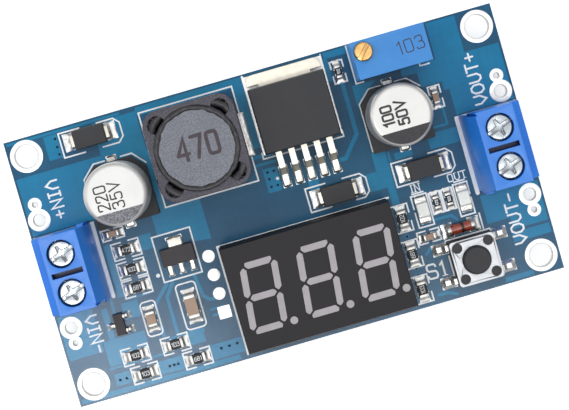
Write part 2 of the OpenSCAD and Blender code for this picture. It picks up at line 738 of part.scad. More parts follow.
module terminal_screw() {
    rim = 0.15;
    difference() {
        rotate_extrude() polygon([[0, tip_z], [screw_d / 2 - rim, tip_z],
            [screw_d / 2, tip_z + rim], [screw_d / 2, head_z], [head_d / 2, head_z],
            [head_d / 2, head_z + head_h - rim], [head_d / 2 - rim, head_z + head_h],
            [0, head_z + head_h]]);
        translate([0, 0, head_z + head_h - drive_slot_deep])
            centred_box(head_d + cut, drive_slot, drive_slot_deep + cut);
        translate([0, 0, head_z + head_h - cross_deep]) linear_extrude(cross_deep + cut)
            cross_recess();
    }
}

// Four-pointed recess for a cross driver
module cross_recess() {
    arms = 4;
    step = 360 / arms;
    polygon([for (i = [0:arms - 1]) each [
        cross_r * [cos(i * step - 8), sin(i * step - 8)],
        cross_r * [cos(i * step + 8), sin(i * step + 8)],
        cross_root * [cos((i + 0.5) * step), sin((i + 0.5) * step)]]]);
}

screw_lie = 20; // how far the driver slots are turned at rest

module input_positive_screw() {
    color("gainsboro") at_input() translate([0, poles[0], 0]) rotate(screw_lie)
        terminal_screw();
}

module input_negative_screw() {
    color("gainsboro") at_input() translate([0, poles[1], 0]) rotate(screw_lie)
        terminal_screw();
}

module output_positive_screw() {
    color("gainsboro") at_output() translate([0, poles[1], 0]) rotate(screw_lie)
        terminal_screw();
}

module output_negative_screw() {
    color("gainsboro") at_output() translate([0, poles[0], 0]) rotate(screw_lie)
        terminal_screw();
}

// Plate that the screw's tip pushes on to the wire, bevelled where the wire comes in
module terminal_clamp() {
    upright(clamp_w) polygon([[-clamp_back, clamp_top - clamp_t],
        [clamp_front - 2 * clamp_bevel, clamp_top - clamp_t],
        [clamp_front, clamp_top - clamp_t + clamp_bevel], [clamp_front, clamp_top - seat],
        [-clamp_back, clamp_top - seat]]);
}

module input_positive_clamp() {
    color("silver") at_input() translate([0, poles[0], 0]) terminal_clamp();
}

module input_negative_clamp() {
    color("silver") at_input() translate([0, poles[1], 0]) terminal_clamp();
}

module output_positive_clamp() {
    color("silver") at_output() translate([0, poles[1], 0]) terminal_clamp();
}

module output_negative_clamp() {
    color("silver") at_output() translate([0, poles[0], 0]) terminal_clamp();
}

// ---- Display ----

digit_x = 0.1;   // the digits' middle from the display's middle, along it
digit_y = -0.14; // and across it
digits = [digit_x - digit_pitch, digit_x, digit_x + digit_pitch];

function lean(p) = [p[0] + p[1] * tan(digit_lean), p[1]];
function leaned(pts) = [for (p = pts) lean(p)];

// Half sizes of the segments' centre lines
seg_x = (digit_w - seg_w) / 2;
seg_y = (digit_h - seg_w) / 4;

// Lying segment with its ends bevelled above and below by the given shares
function lying(up, down) = let(a = seg_x - seg_gap, h = seg_w / 2)
    [[-a + h * down, -h], [a - h * down, -h], [a, 0], [a - h * up, h], [-a + h * up, h],
    [-a, 0]];

// Standing segment between two lying ones
standing = let(a = seg_y - seg_gap / 2, h = seg_w / 2)
    [[-h, -a + h], [0, -a], [h, -a + h], [h, a - h], [0, a], [-h, a - h]];

function moved(pts, d) = [for (p = pts) p + d];

segments = [moved(lying(0.15, 1), [0, 2 * seg_y]), moved(lying(1, 1), [0, 0]),
    moved(lying(1, 0.15), [0, -2 * seg_y]), moved(standing, [seg_x, seg_y]),
    moved(standing, [-seg_x, seg_y]), moved(standing, [seg_x, -seg_y]),
    moved(standing, [-seg_x, -seg_y])];

module digit_shapes() {
    for (x = digits) translate([x, digit_y]) {
        for (s = segments) polygon(rounded(leaned(s), seg_round));
        translate([point_x, -2 * seg_y]) circle(d = point_d);
    }
}

module grown_digit_shapes() {
    for (x = digits) translate([x, digit_y]) {
        for (s = segments) polygon(rounded(grown(leaned(s), seg_fit), seg_round + seg_fit));
        translate([point_x, -2 * seg_y]) circle(d = point_d + 2 * seg_fit);
    }
}

// The same outline with every corner moved out so that each side moves by d
function grown(pts, d) = let(n = len(pts)) [for (i = [0:n - 1])
    let(u = unit(pts[i] - pts[(i + n - 1) % n]), v = unit(pts[(i + 1) % n] - pts[i]),
        out = unit([u[1] + v[1], -u[0] - v[0]])) pts[i] + out * d / cos(acos(u * v) / 2)];

module display_housing() {
    edge = 0.25;
    color("dimgray") translate([disp_place[0], disp_place[1], board_t])
        difference() {
            intersection() {
                upright(disp_w) display_profile(disp_l, edge);
                rotate(90) upright(disp_l) display_profile(disp_w, edge);
            }
            centred_box(disp_l - 2 * disp_wall, disp_w - 2 * disp_wall, disp_hollow + cut, -cut);
            translate([0, 0, disp_h - seg_deep]) linear_extrude(seg_deep + cut)
                grown_digit_shapes();
        }
}

module display_profile(l, edge) {
    polygon([[-l / 2, 0], [l / 2, 0], [l / 2, disp_h - edge], [l / 2 - edge / 2, disp_h],
        [-l / 2 + edge / 2, disp_h], [-l / 2, disp_h - edge]]);
}

module display_segments() {
    color("thistle") translate([disp_place[0], disp_place[1],
        board_t + disp_h - seg_deep]) linear_extrude(seg_deep) digit_shapes();
}

module display_pins() {
    color("silver") for (p = disp_pins) translate([p[0], p[1], -pin_out])
        cylinder(d = p[2], h = pin_out + board_t + disp_hollow);
}

// ---- Controller under the display ----

chip_z = 0.1;
chip_lead_t = 0.15;

module controller_shape() {
    translate([0, 0, chip_z]) moulded(chip_size, chip_size[2] / 2);
}

module controller_lead_shapes() {
    for (side = [0, half_turn], i = [0:chip_leads - 1]) rotate(side + 90)
        translate([0, (i - (chip_leads - 1) / 2) * chip_lead_pitch, 0])
            upright(chip_lead_pitch * 0.35) polygon(gull(chip_size[1] / 2 - 0.2,
                chip_size[1] / 2 + 0.35, chip_toe, chip_size[2] / 2, chip_lead_t));
}

module controller_chip() {
    color("black") at(disp_place) difference() {
        controller_shape();
        controller_lead_shapes();
    }
}

module controller_leads() {
    color("silver") at(disp_place) controller_lead_shapes();
}

// ---- Trimmer ----

trim_screw_at = [-trim_l / 2 + trim_screw_end, trim_w / 2 - trim_screw_side];

module at_trimmer() {
    translate([trim_place[0], trim_place[1], board_t]) children();
}

module trimmer_housing() {
    foot = 1.2;
    color("dodgerblue") at_trimmer() difference() {
        union() {
            centred_box(trim_l, trim_w, trim_h - trim_foot_h, trim_foot_h);
            for (x = [-1, 1], y = [-1, 1])
                translate([x * (trim_l - foot) / 2, y * (trim_w - foot) / 2, 0])
                    centred_box(foot, foot, trim_foot_h);
        }
        translate([trim_screw_at[0], trim_screw_at[1], trim_h - trim_seat])
            cylinder(d = trim_screw_d + 2 * trim_screw_gap, h = trim_seat + cut);
    }
}

module trimmer_screw() {
    rim = 0.12;
    slot_w = 0.5;
    slot_deep = 0.6;
    top = trim_h + trim_screw_out;
    color("gold") at_trimmer() translate([trim_screw_at[0], trim_screw_at[1], 0]) difference() {
        rotate_extrude() polygon([[0, trim_h - trim_seat + seat],
            [trim_screw_d / 2, trim_h - trim_seat + seat], [trim_screw_d / 2, top - rim],
            [trim_screw_d / 2 - rim, top], [0, top]]);
        rotate(47) translate([0, 0, top - slot_deep])
            centred_box(trim_screw_d + cut, slot_w, slot_deep + cut);
    }
}

module trimmer_pins() {
    color("silver") for (p = trim_pins) translate([p[0], p[1], -pin_out])
        cylinder(d = p[2], h = pin_out + board_t + trim_foot_h);
}

// ---- Capacitors ----

module capacitor_can() {
    r = can_d / 2;
    foot_round = 0.3;
    color("whitesmoke") difference() {
        rotate_extrude() {
            translate([0, cap_base_t]) square([r - can_round, can_h - cap_base_t]);
            translate([0, cap_base_t + foot_round])
                square([r, can_h - can_round - cap_base_t - foot_round]);
            translate([0, cap_base_t]) square([r - foot_round, 2 * foot_round]);
            translate([r - foot_round, cap_base_t + foot_round]) circle(foot_round);
            translate([r - can_round, can_h - can_round]) circle(can_round);
        }
        rotate_extrude() translate([r + can_groove, can_groove_z]) circle(2 * can_groove);
    }
}

module capacitor_base() {
    h = cap_base_w / 2;
    color("black") difference() {
        linear_extrude(cap_base_t) polygon([[-h, -h], [h, -h], [h, h - cap_base_cut],
            [h - cap_base_cut, h], [-h + cap_base_cut, h], [-h, h - cap_base_cut]]);
        for (side = [-1, 1]) translate([0, side * cap_lead_span / 2, -cut])
            centred_box(cap_lead_w + 2 * seat, cap_lead_span - 2 * cap_lead_w,
                cap_lead_t + seat + cut);
    }
}

module capacitor_leads() {
    color("silver") for (side = [-1, 1])
        translate([0, side * (cap_lead_span + 2 * cap_lead_w) / 4, 0])
            centred_box(cap_lead_w, cap_lead_span / 2 - cap_lead_w, cap_lead_t);
}

module input_capacitor_can() {
    at(in_cap_place) capacitor_can();
}

module input_capacitor_base() {
    at(in_cap_place) capacitor_base();
}

module input_capacitor_leads() {
    at(in_cap_place) capacitor_leads();
}

module output_capacitor_can() {
    at(out_cap_place) capacitor_can();
}

module output_capacitor_base() {
    at(out_cap_place) capacitor_base();
}

module output_capacitor_leads() {
    at(out_cap_place) capacitor_leads();
}

// ---- Inductor ----

core_z = clip_t + coil_base_t;
core_top = clip_t + coil_h - 0.1;

module inductor_shield() {
    pocket_r = 1.15;
    pocket_at = core_d / 2 + core_gap + pocket_r * 0.35;
    color("gray") at(coil_place) translate([0, 0, core_z])
        linear_extrude(coil_h - coil_base_t) difference() {
            rounded_square(coil_w, coil_w, coil_round);
            circle(d = core_d + 2 * core_gap);
            for (a = [45:90:315]) rotate(a) translate([pocket_at, 0]) circle(pocket_r);
        }
}

module inductor_core() {
    color("darkgray") at(coil_place) rotate_extrude() polygon([[0, core_z],
        [core_d / 2, core_z], [core_d / 2, core_z + core_end_t],
        [core_neck_d / 2, core_z + core_end_t], [core_neck_d / 2, core_top - core_end_t],
        [core_d / 2, core_top - core_end_t], [core_d / 2, core_top], [0, core_top]]);
}

// Round turns of the outermost layer over a closed core of inner layers
module inductor_winding() {
    low = core_z + core_end_t;
    high = core_top - core_end_t;
    turns = floor((high - low) / coil_wire_d);
    r = core_d / 2 - coil_wire_d / 2;
    color("sienna") at(coil_place) rotate_extrude() {
        translate([core_neck_d / 2, low])
            square([r - core_neck_d / 2, turns * coil_wire_d]);
        for (i = [0:turns - 1])
            translate([r, low + (i + 0.5) * coil_wire_d]) circle(d = coil_wire_d - seat);
    }
}

module inductor_base() {
    color("black") at(coil_place) translate([0, 0, clip_t]) linear_extrude(coil_base_t)
        rounded_square(coil_w, coil_w, coil_round);
}

module inductor_clips() {
    under = 2.2;
    color("silver") at(coil_place) for (side = [0, half_turn]) rotate(side) upright(clip_w)
        polygon([[coil_w / 2 - under, 0], [coil_w / 2 + clip_t, 0],
            [coil_w / 2 + clip_t, clip_h], [coil_w / 2, clip_h], [coil_w / 2, clip_t],
            [coil_w / 2 - under, clip_t]]);
}

// ---- Regulator ----

reg_leads = 5;
reg_body_z = 0.1;
reg_tab_under = 7.2;  // how far the tab runs under the body
reg_neck = 0.35;      // narrow stretch between the body and the tab's wings
reg_notch = 1.5;      // depth of the notch at each side of that stretch

module regulator_lead_shapes() {
    drop = reg_lead_z;
    for (i = [0:reg_leads - 1])
        translate([(i - (reg_leads - 1) / 2) * reg_lead_pitch, -reg_l / 2, 0]) rotate(-90)
            upright(reg_lead_w) polygon([[-1, drop], [1.9, drop],
                [reg_lead_out - 1.75, 0], [reg_lead_out, 0], [reg_lead_out, reg_lead_t],
                [reg_lead_out - 1.5, reg_lead_t], [2.15, drop + reg_lead_t],
                [-1, drop + reg_lead_t]]);
}

module regulator_tab_shape() {
    wing = 0.7;
    inner = reg_l / 2;
    half = reg_w / 2 - 0.1;
    linear_extrude(reg_tab_t) polygon([[-half + reg_notch, inner - reg_tab_under],
        [half - reg_notch, inner - reg_tab_under], [half - reg_notch, inner + reg_neck],
        [half, inner + reg_neck], [half, inner + reg_tab_out - wing * 0.4],
        [half - wing, inner + reg_tab_out], [-half + wing, inner + reg_tab_out],
        [-half, inner + reg_tab_out - wing * 0.4], [-half, inner + reg_neck],
        [-half + reg_notch, inner + reg_neck]]);
}

module regulator_body() {
    color("darkslategray") at(reg_place) difference() {
        translate([0, 0, reg_body_z]) moulded([reg_w, reg_l, reg_h - reg_body_z],
            reg_lead_z + reg_lead_t / 2);
        regulator_tab_shape();
        regulator_lead_shapes();
    }
}

module regulator_tab() {
    color("lightyellow") at(reg_place) regulator_tab_shape();
}

module regulator_leads() {
    color("silver") at(reg_place) regulator_lead_shapes();
}

module regulator_pads() {
    at(reg_place) {
        pad(0, reg_tab_out / 2, reg_w + grow, reg_l + reg_tab_out);
        for (i = [0:reg_leads - 1]) pad((i - (reg_leads - 1) / 2) * reg_lead_pitch,
            -reg_l / 2 - reg_lead_out + 1.2, reg_lead_w + grow * 0.8, 3);
    }
}

// ---- Diodes, transistor and the meter's regulator ----

diode_lead_t = 0.2;

module diode_lead_shapes() {
    z = diode_size[2] / 2 - diode_lead_t / 2;
    half = diode_size[0] / 2;
    for (side = [0, half_turn]) rotate(side) upright(diode_lead_w)
        polygon([[half - 0.3, z], [diode_span / 2 - diode_lead_t, z],
            [diode_span / 2 - diode_lead_t, diode_lead_t], [half - 0.8, diode_lead_t],
            [half - 0.8, 0], [diode_span / 2, 0], [diode_span / 2, z + diode_lead_t],
            [half - 0.3, z + diode_lead_t]]);
}

module power_diode_bodies() {
    color("dimgray") for (p = diode_places) at(p) difference() {
        translate([0, 0, diode_lead_t]) moulded([diode_size[0], diode_size[1],
            diode_size[2] - diode_lead_t], diode_size[2] / 2 - diode_lead_t);
        diode_lead_shapes();
    }
}

module power_diode_leads() {
    color("silver") for (p = diode_places) at(p) diode_lead_shapes();
}

module signal_diode_glass() {
    l = glass_l - 2 * glass_cap_l;
    color("orangered") at(glass_place) translate([-l / 2, 0, glass_d / 2]) rotate([0, 90, 0])
        cylinder(d = glass_d - 0.1, h = l);
}

module signal_diode_caps() {
    color("silver") at(glass_place) for (side = [0, half_turn]) rotate(side)
        translate([glass_l / 2 - glass_cap_l, 0, glass_d / 2]) rotate([0, 90, 0])
            cylinder(d = glass_d, h = glass_cap_l);
}

meter_lead_pitch = 1.5;
meter_lead_t = 0.4;

module meter_regulator_lead_shapes() {
    half = meter_reg_size[1] / 2;
    tab_r = 0.85;
    tab_neck = meter_tab_out - tab_r;
    linear_extrude(meter_lead_t) {
        for (x = [-1:1]) translate([x * meter_lead_pitch - 0.22, -half - meter_lead_out])
            square([0.44, meter_lead_out + half]);
        translate([-tab_r, -half / 2]) square([2 * tab_r, half * 1.5 + tab_neck]);
        translate([-meter_lead_pitch - 0.22, -half / 2]) square([2 * meter_lead_pitch + 0.44, 0.4]);
        translate([0, half + tab_neck]) circle(tab_r);
    }
}

module meter_regulator_body() {
    color("dimgray") at(meter_reg_place) difference() {
        moulded(meter_reg_size, meter_lead_t);
        meter_regulator_lead_shapes();
    }
}

module meter_regulator_leads() {
    color("silver") at(meter_reg_place) meter_regulator_lead_shapes();
}

module meter_regulator_pads() {
    half = meter_reg_size[1] / 2;
    for (x = [-1:1])
        pad(x * meter_lead_pitch, -half - meter_lead_out / 2, 0.8, meter_lead_out + 2 * pad_margin);
    pad(0, half + 0.4, 2.2, 1.8);
}

transistor_lead_t = 0.15;
transistor_toe = 1.2;
transistor_lead_y = 0.95;

// The single lead is on one long side, the other two on the opposite one
module transistor_lead_shapes() {
    for (p = [[0, 90], [-transistor_lead_y, -90], [transistor_lead_y, -90]])
        translate([p[0], 0, 0]) rotate(p[1]) upright(0.42)
            polygon(gull(transistor_size[1] / 2 - 0.2, transistor_size[1] / 2 + 0.2,
                transistor_toe, transistor_size[2] / 2, transistor_lead_t));
}

module transistor_body() {
    color("dimgray") at(transistor_place) difference() {
        translate([0, 0, transistor_lead_t / 2]) moulded([transistor_size[0],
            transistor_size[1], transistor_size[2] - transistor_lead_t / 2],
            transistor_size[2] / 2);
        transistor_lead_shapes();
    }
}

module transistor_leads() {
    color("silver") at(transistor_place) transistor_lead_shapes();
}

module transistor_pads() {
    for (p = [[0, 1], [-transistor_lead_y, -1], [transistor_lead_y, -1]])
        pad(p[0], p[1] * transistor_toe, 0.9, 1.0);
}

// ---- Resistors and ceramic capacitors ----

module chip_body(size) {
    centred_box(size[0] - 2 * size[3], size[1], size[2]);
}

module chip_ends(size) {
    for (side = [0, half_turn]) rotate(side)
        translate([(size[0] - size[3]) / 2, 0, 0]) centred_box(size[3], size[1], size[2]);
}

module resistor_bodies() {
    color("black") {
        for (p = large_resistor_places) at(p) chip_body(large_resistor);
        for (p = small_resistor_places) at(p) chip_body(small_resistor);
    }
}

module resistor_ends() {
    color("silver") {
        for (p = large_resistor_places) at(p) chip_ends(large_resistor);
        for (p = small_resistor_places) at(p) chip_ends(small_resistor);
    }
}

module ceramic_capacitor_bodies() {
    color("tan") {
        for (p = small_ceramic_places) at(p) chip_body(small_ceramic);
        for (p = medium_ceramic_places) at(p) chip_body(medium_ceramic);
        for (p = large_ceramic_places) at(p) chip_body(large_ceramic);
    }
}

module ceramic_capacitor_ends() {
    color("silver") {
        for (p = small_ceramic_places) at(p) chip_ends(small_ceramic);
        for (p = medium_ceramic_places) at(p) chip_ends(medium_ceramic);
        for (p = large_ceramic_places) at(p) chip_ends(large_ceramic);
    }
}

// ---- Lamps ----

module lamp_bases() {
    color("beige") for (p = lamp_places) at(p) chip_body(lamp_base);
}

module lamp_ends() {
    notch = lamp_base[1] / 4;
    color("silver") for (p = lamp_places) at(p) difference() {
        chip_ends(lamp_base);
        for (side = [-1, 1]) translate([side * lamp_base[0] / 2, 0, -cut])
            cylinder(r = notch, h = lamp_base[2] + 2 * cut);
    }
}

module lamp_lenses() {
    lean_in = 0.12;
    color("whitesmoke") for (p = lamp_places) at(p) translate([0, 0, lamp_base[2]])
        upright(lamp_base[1]) polygon([[-lamp_lens_l / 2, 0], [lamp_lens_l / 2, 0],
            [lamp_lens_l / 2 - lean_in, lamp_lens_h],
            [-lamp_lens_l / 2 + lean_in, lamp_lens_h]]);
}

// ---- Button ----

btn_hole_r = btn_d / 2 + btn_gap;
btn_well_r = btn_d / 2 + btn_flange + btn_gap;
btn_under = btn_h - btn_cover_t;   // underside of the cover
btn_flange_t = 0.5;
btn_well_z = 1.9;                  // floor of the well under the plunger
btn_stub_r = 0.8;
btn_stub_h = 0.3;
dome_h = btn_under - seat - btn_flange_t - btn_stub_h - btn_well_z - 0.05;

module button_housing() {
    side_cut = 0.3;
    color("black") at(btn_place) {
        difference() {
            linear_extrude(btn_under) rounded_square(btn_w, btn_w, side_cut);
            translate([0, 0, btn_well_z]) cylinder(r = btn_well_r, h = btn_under);
            button_lead_shapes();
        }
        for (x = [-1, 1], y = [-1, 1])
            translate([x * btn_rivet, y * btn_rivet, btn_under])
                cylinder(d = btn_rivet_d, h = btn_cover_t + 0.05);
    }
}

module button_cover() {
    color("gainsboro") at(btn_place) translate([0, 0, btn_under]) linear_extrude(btn_cover_t)
        difference() {
            rounded_square(btn_w, btn_w, 0.45);
            circle(r = btn_hole_r);
            for (x = [-1, 1], y = [-1, 1])
                translate([x * btn_rivet, y * btn_rivet]) circle(d = btn_rivet_d + 2 * seat);
        }
}

module button_plunger() {
    rim = 0.15;
    low = btn_under - seat - btn_flange_t;
    top = btn_h + btn_out;
    color("dimgray") at(btn_place) rotate_extrude() polygon([[0, low - btn_stub_h],
        [btn_stub_r, low - btn_stub_h], [btn_stub_r, low], [btn_d / 2 + btn_flange, low],
        [btn_d / 2 + btn_flange, low + btn_flange_t], [btn_d / 2, low + btn_flange_t],
        [btn_d / 2, top - rim], [btn_d / 2 - rim, top], [0, top]]);
}

// Snap disc: a shallow shell of a ball
module button_dome() {
    t = 0.08;
    foot_r = btn_well_r - 0.25;
    ball_r = (foot_r * foot_r + dome_h * dome_h) / (2 * dome_h);
    color("silver") at(btn_place) translate([0, 0, btn_well_z]) intersection() {
        translate([0, 0, dome_h - ball_r]) difference() {
            sphere(ball_r);
            sphere(ball_r - t);
        }
        cylinder(r = foot_r, h = dome_h + cut);
    }
}

btn_lead_t = 0.2;
btn_lead_z = 0.9;

module button_lead_shapes() {
    for (side = [0, half_turn], y = [-1, 1]) rotate(side)
        translate([0, y * btn_lead_pitch / 2, 0]) upright(btn_lead_w)
            polygon(gull(btn_w / 2 - 0.5, btn_w / 2 + 0.4, btn_lead_span / 2, btn_lead_z,
                btn_lead_t));
}

module button_leads() {
    color("silver") at(btn_place) button_lead_shapes();
}

circuit_board();
tinned_pads();
solder_joints();
input_terminal_housing();
output_terminal_housing();
input_contacts();
output_contacts();
input_positive_screw();
input_negative_screw();
output_positive_screw();
output_negative_screw();
input_positive_clamp();
input_negative_clamp();
output_positive_clamp();
output_negative_clamp();
display_housing();
display_segments();
display_pins();
controller_chip();
controller_leads();
trimmer_housing();
trimmer_screw();
trimmer_pins();
input_capacitor_can();
input_capacitor_base();
input_capacitor_leads();
output_capacitor_can();
output_capacitor_base();
output_capacitor_leads();
inductor_shield();
inductor_core();
inductor_winding();
inductor_base();
inductor_clips();
regulator_body();
regulator_tab();
regulator_leads();
power_diode_bodies();
power_diode_leads();
signal_diode_glass();
signal_diode_caps();
meter_regulator_body();
meter_regulator_leads();
transistor_body();
transistor_leads();
resistor_bodies();
resistor_ends();
ceramic_capacitor_bodies();
ceramic_capacitor_ends();
lamp_bases();
lamp_lenses();
lamp_ends();
button_housing();
button_cover();
button_plunger();
button_dome();
button_leads();
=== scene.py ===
# Step-down converter board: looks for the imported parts, in metres, z up
import json
import math

import bmesh
import bpy
from mathutils import Matrix, Vector, geometry, noise


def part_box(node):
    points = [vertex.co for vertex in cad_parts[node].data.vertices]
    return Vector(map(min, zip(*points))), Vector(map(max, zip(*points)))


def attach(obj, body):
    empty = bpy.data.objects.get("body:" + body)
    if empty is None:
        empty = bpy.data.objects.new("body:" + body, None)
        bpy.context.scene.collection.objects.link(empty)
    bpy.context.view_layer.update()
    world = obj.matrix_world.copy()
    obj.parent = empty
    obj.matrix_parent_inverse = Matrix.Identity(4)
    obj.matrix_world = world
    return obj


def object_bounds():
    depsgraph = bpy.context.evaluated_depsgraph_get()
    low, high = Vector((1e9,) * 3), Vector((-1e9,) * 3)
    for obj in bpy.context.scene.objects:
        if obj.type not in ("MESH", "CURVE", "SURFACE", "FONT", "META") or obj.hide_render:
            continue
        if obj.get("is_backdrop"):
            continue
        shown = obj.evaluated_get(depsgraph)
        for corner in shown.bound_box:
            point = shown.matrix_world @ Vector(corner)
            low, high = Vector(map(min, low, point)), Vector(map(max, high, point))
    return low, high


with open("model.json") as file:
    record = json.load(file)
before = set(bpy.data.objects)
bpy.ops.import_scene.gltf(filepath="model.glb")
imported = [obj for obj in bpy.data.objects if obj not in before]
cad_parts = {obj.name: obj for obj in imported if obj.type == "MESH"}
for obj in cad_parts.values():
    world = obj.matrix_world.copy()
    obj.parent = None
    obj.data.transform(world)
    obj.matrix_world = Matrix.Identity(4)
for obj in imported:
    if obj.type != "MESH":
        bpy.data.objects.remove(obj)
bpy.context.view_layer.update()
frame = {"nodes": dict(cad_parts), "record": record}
nodes = frame["nodes"]
scene = bpy.context.scene
mm = 0.001
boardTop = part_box("circuit_board")[1].z / mm
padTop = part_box("tinned_pads")[1].z / mm
print("frame loaded:", len(nodes), "parts, board top at", round(boardTop, 3), "mm")


# finishes

def tint(r, g, b):
    # 0-255 screen values to linear light
    return tuple(((v / 255 + 0.055) / 1.055) ** 2.4 if v > 10 else v / 255 / 12.92
                 for v in (r, g, b)) + (1.0,)


def plug(tree, node, values):
    # numbers and colours are set on the node's own sockets, the rest is linked to them
    for name, value in values.items():
        if isinstance(value, (float, int, tuple)):
            node.inputs[name].default_value = value
        else:
            tree.links.new(value, node.inputs[name])
    return node


def newNode(tree, kind, values):
    return plug(tree, tree.nodes.new("ShaderNode" + kind), values)


def newFinish(name):
    mat = bpy.data.materials.new(name)
    mat.use_nodes = True
    return mat, mat.node_tree, mat.node_tree.nodes["Principled BSDF"]


def grain(tree, size, detail=3.0, rough=0.55, stretch=(1, 1, 1)):
    # noise whose lumps are about size millimetres across
    coords = newNode(tree, "TexCoord", {})
    place = newNode(tree, "Mapping", {"Vector": coords.outputs["Object"], "Scale": stretch})
    return newNode(tree, "TexNoise", {
        "Vector": place.outputs["Vector"], "Scale": 1 / (size * mm), "Detail": detail,
        "Roughness": rough}).outputs["Fac"]


noiseSpan = (0.3, 0.7)  # nearly all of a noise's values lie in here


def stops(tree, fac, colours, span=noiseSpan):
    # a ramp with its colours spread evenly over the span
    ramp = newNode(tree, "ValToRGB", {"Fac": fac})
    bar = ramp.color_ramp
    while len(bar.elements) < len(colours):
        bar.elements.new(0.5)
    for i, colour in enumerate(colours):
        bar.elements[i].position = span[0] + (span[1] - span[0]) * i / (len(colours) - 1)
        bar.elements[i].color = colour
    return ramp.outputs["Color"]


def blendColours(tree, fac, a, b, how="MIX"):
    mix = tree.nodes.new("ShaderNodeMix")
    mix.data_type = "RGBA"
    mix.blend_type = how
    return plug(tree, mix, {"Factor": fac, 6: a, 7: b}).outputs[2]


def spread(tree, fac, low, high):
    return newNode(tree, "MapRange", {
        "Value": fac, "From Min": noiseSpan[0], "From Max": noiseSpan[1],
        "To Min": low, "To Max": high}).outputs["Result"]


def bumps(tree, shader, fac, depth, strength, under=None):
    bump = newNode(tree, "Bump", {"Height": fac, "Distance": depth * mm, "Strength": strength})
    if under is not None:
        tree.links.new(under, bump.inputs["Normal"])
    tree.links.new(bump.outputs["Normal"], shader.inputs["Normal"])
    return bump.outputs["Normal"]


def maths(tree, kind, *values):
    node = newNode(tree, "Math", dict(enumerate(values)))
    node.operation = kind
    return node.outputs[0]


def ownAxes(tree):
    # the part's own X, Y and Z, in metres
    coords = newNode(tree, "TexCoord", {})
    return newNode(tree, "SeparateXYZ", {0: coords.outputs["Object"]}).outputs


def surface(name, look):
    # one finish from its own table: two or three shades, a blotch, grain and gloss
    mat, tree, shader = newFinish(name)
    fine = grain(tree, look["grain"], 4.0, 0.6, look.get("stretch", (1, 1, 1)))
    wide = grain(tree, look["blotch"], 2.0, 0.5)
    base = stops(tree, fine, [tint(*shade) for shade in look["shades"]])
    stained = spread(tree, wide, 0.0, look.get("share", 0.4))
    plug(tree, shader, {
        "Base Color": blendColours(tree, stained, base, tint(*look["stain"])),
        "Roughness": spread(tree, fine, *look["rough"]),
        "Metallic": look.get("metal", 0.0), "Specular IOR Level": look.get("gloss", 0.5),
        "Coat Weight": look.get("coat", 0.0), "Coat Roughness": 0.1})
    first = bumps(tree, shader, fine, look.get("bump", 0.004), 0.6)
    if "wave" in look:
        bumps(tree, shader, grain(tree, look["waveSize"], 1.0), look["wave"], 0.8, first)
    return mat


maskLook = {"rough": (0.13, 0.21), "gloss": 0.2, "cloud": 7.0, "speck": 0.22, "thread": 0.5,
            "weave": 0.16, "weaveBump": 0.006, "speckBump": 0.003}


def maskFinish(name, over, under, edge=None):
    # solder mask: gloss lacquer, faint weave below it, bare laminate on the cut edges
    mat, tree, shader = newFinish(name)
    cloudy = grain(tree, maskLook["cloud"], 3.0, 0.5)
    speck = grain(tree, maskLook["speck"], 3.0, 0.6)
    base = blendColours(tree, spread(tree, cloudy, 0.0, 1.0), tint(*over), tint(*under))
    warp = grain(tree, maskLook["thread"], 1.0, 0.4, (1, 0.12, 1))
    weft = grain(tree, maskLook["thread"], 1.0, 0.4, (0.12, 1, 1))
    both = blendColours(tree, 0.5, warp, weft)
    base = blendColours(tree, maskLook["weave"], base, both, "OVERLAY")
    if edge:
        half = boardTop * mm / 2
        cutEdge = maths(tree, "COMPARE", ownAxes(tree)["Z"], half, half - 0.03 * mm)
        layers = grain(tree, 0.4, 3.0, 0.6, (0.3, 0.3, 4))
        glass = stops(tree, layers, [tint(*shade) for shade in edge], (0.35, 0.65))
        base = blendColours(tree, cutEdge, base, glass)
    plug(tree, shader, {"Base Color": base, "Roughness": spread(tree, speck, *maskLook["rough"]),
                        "Specular IOR Level": maskLook["gloss"]})
    first = bumps(tree, shader, both, maskLook["weaveBump"], 0.35)
    bumps(tree, shader, speck, maskLook["speckBump"], 0.3, first)
    return mat


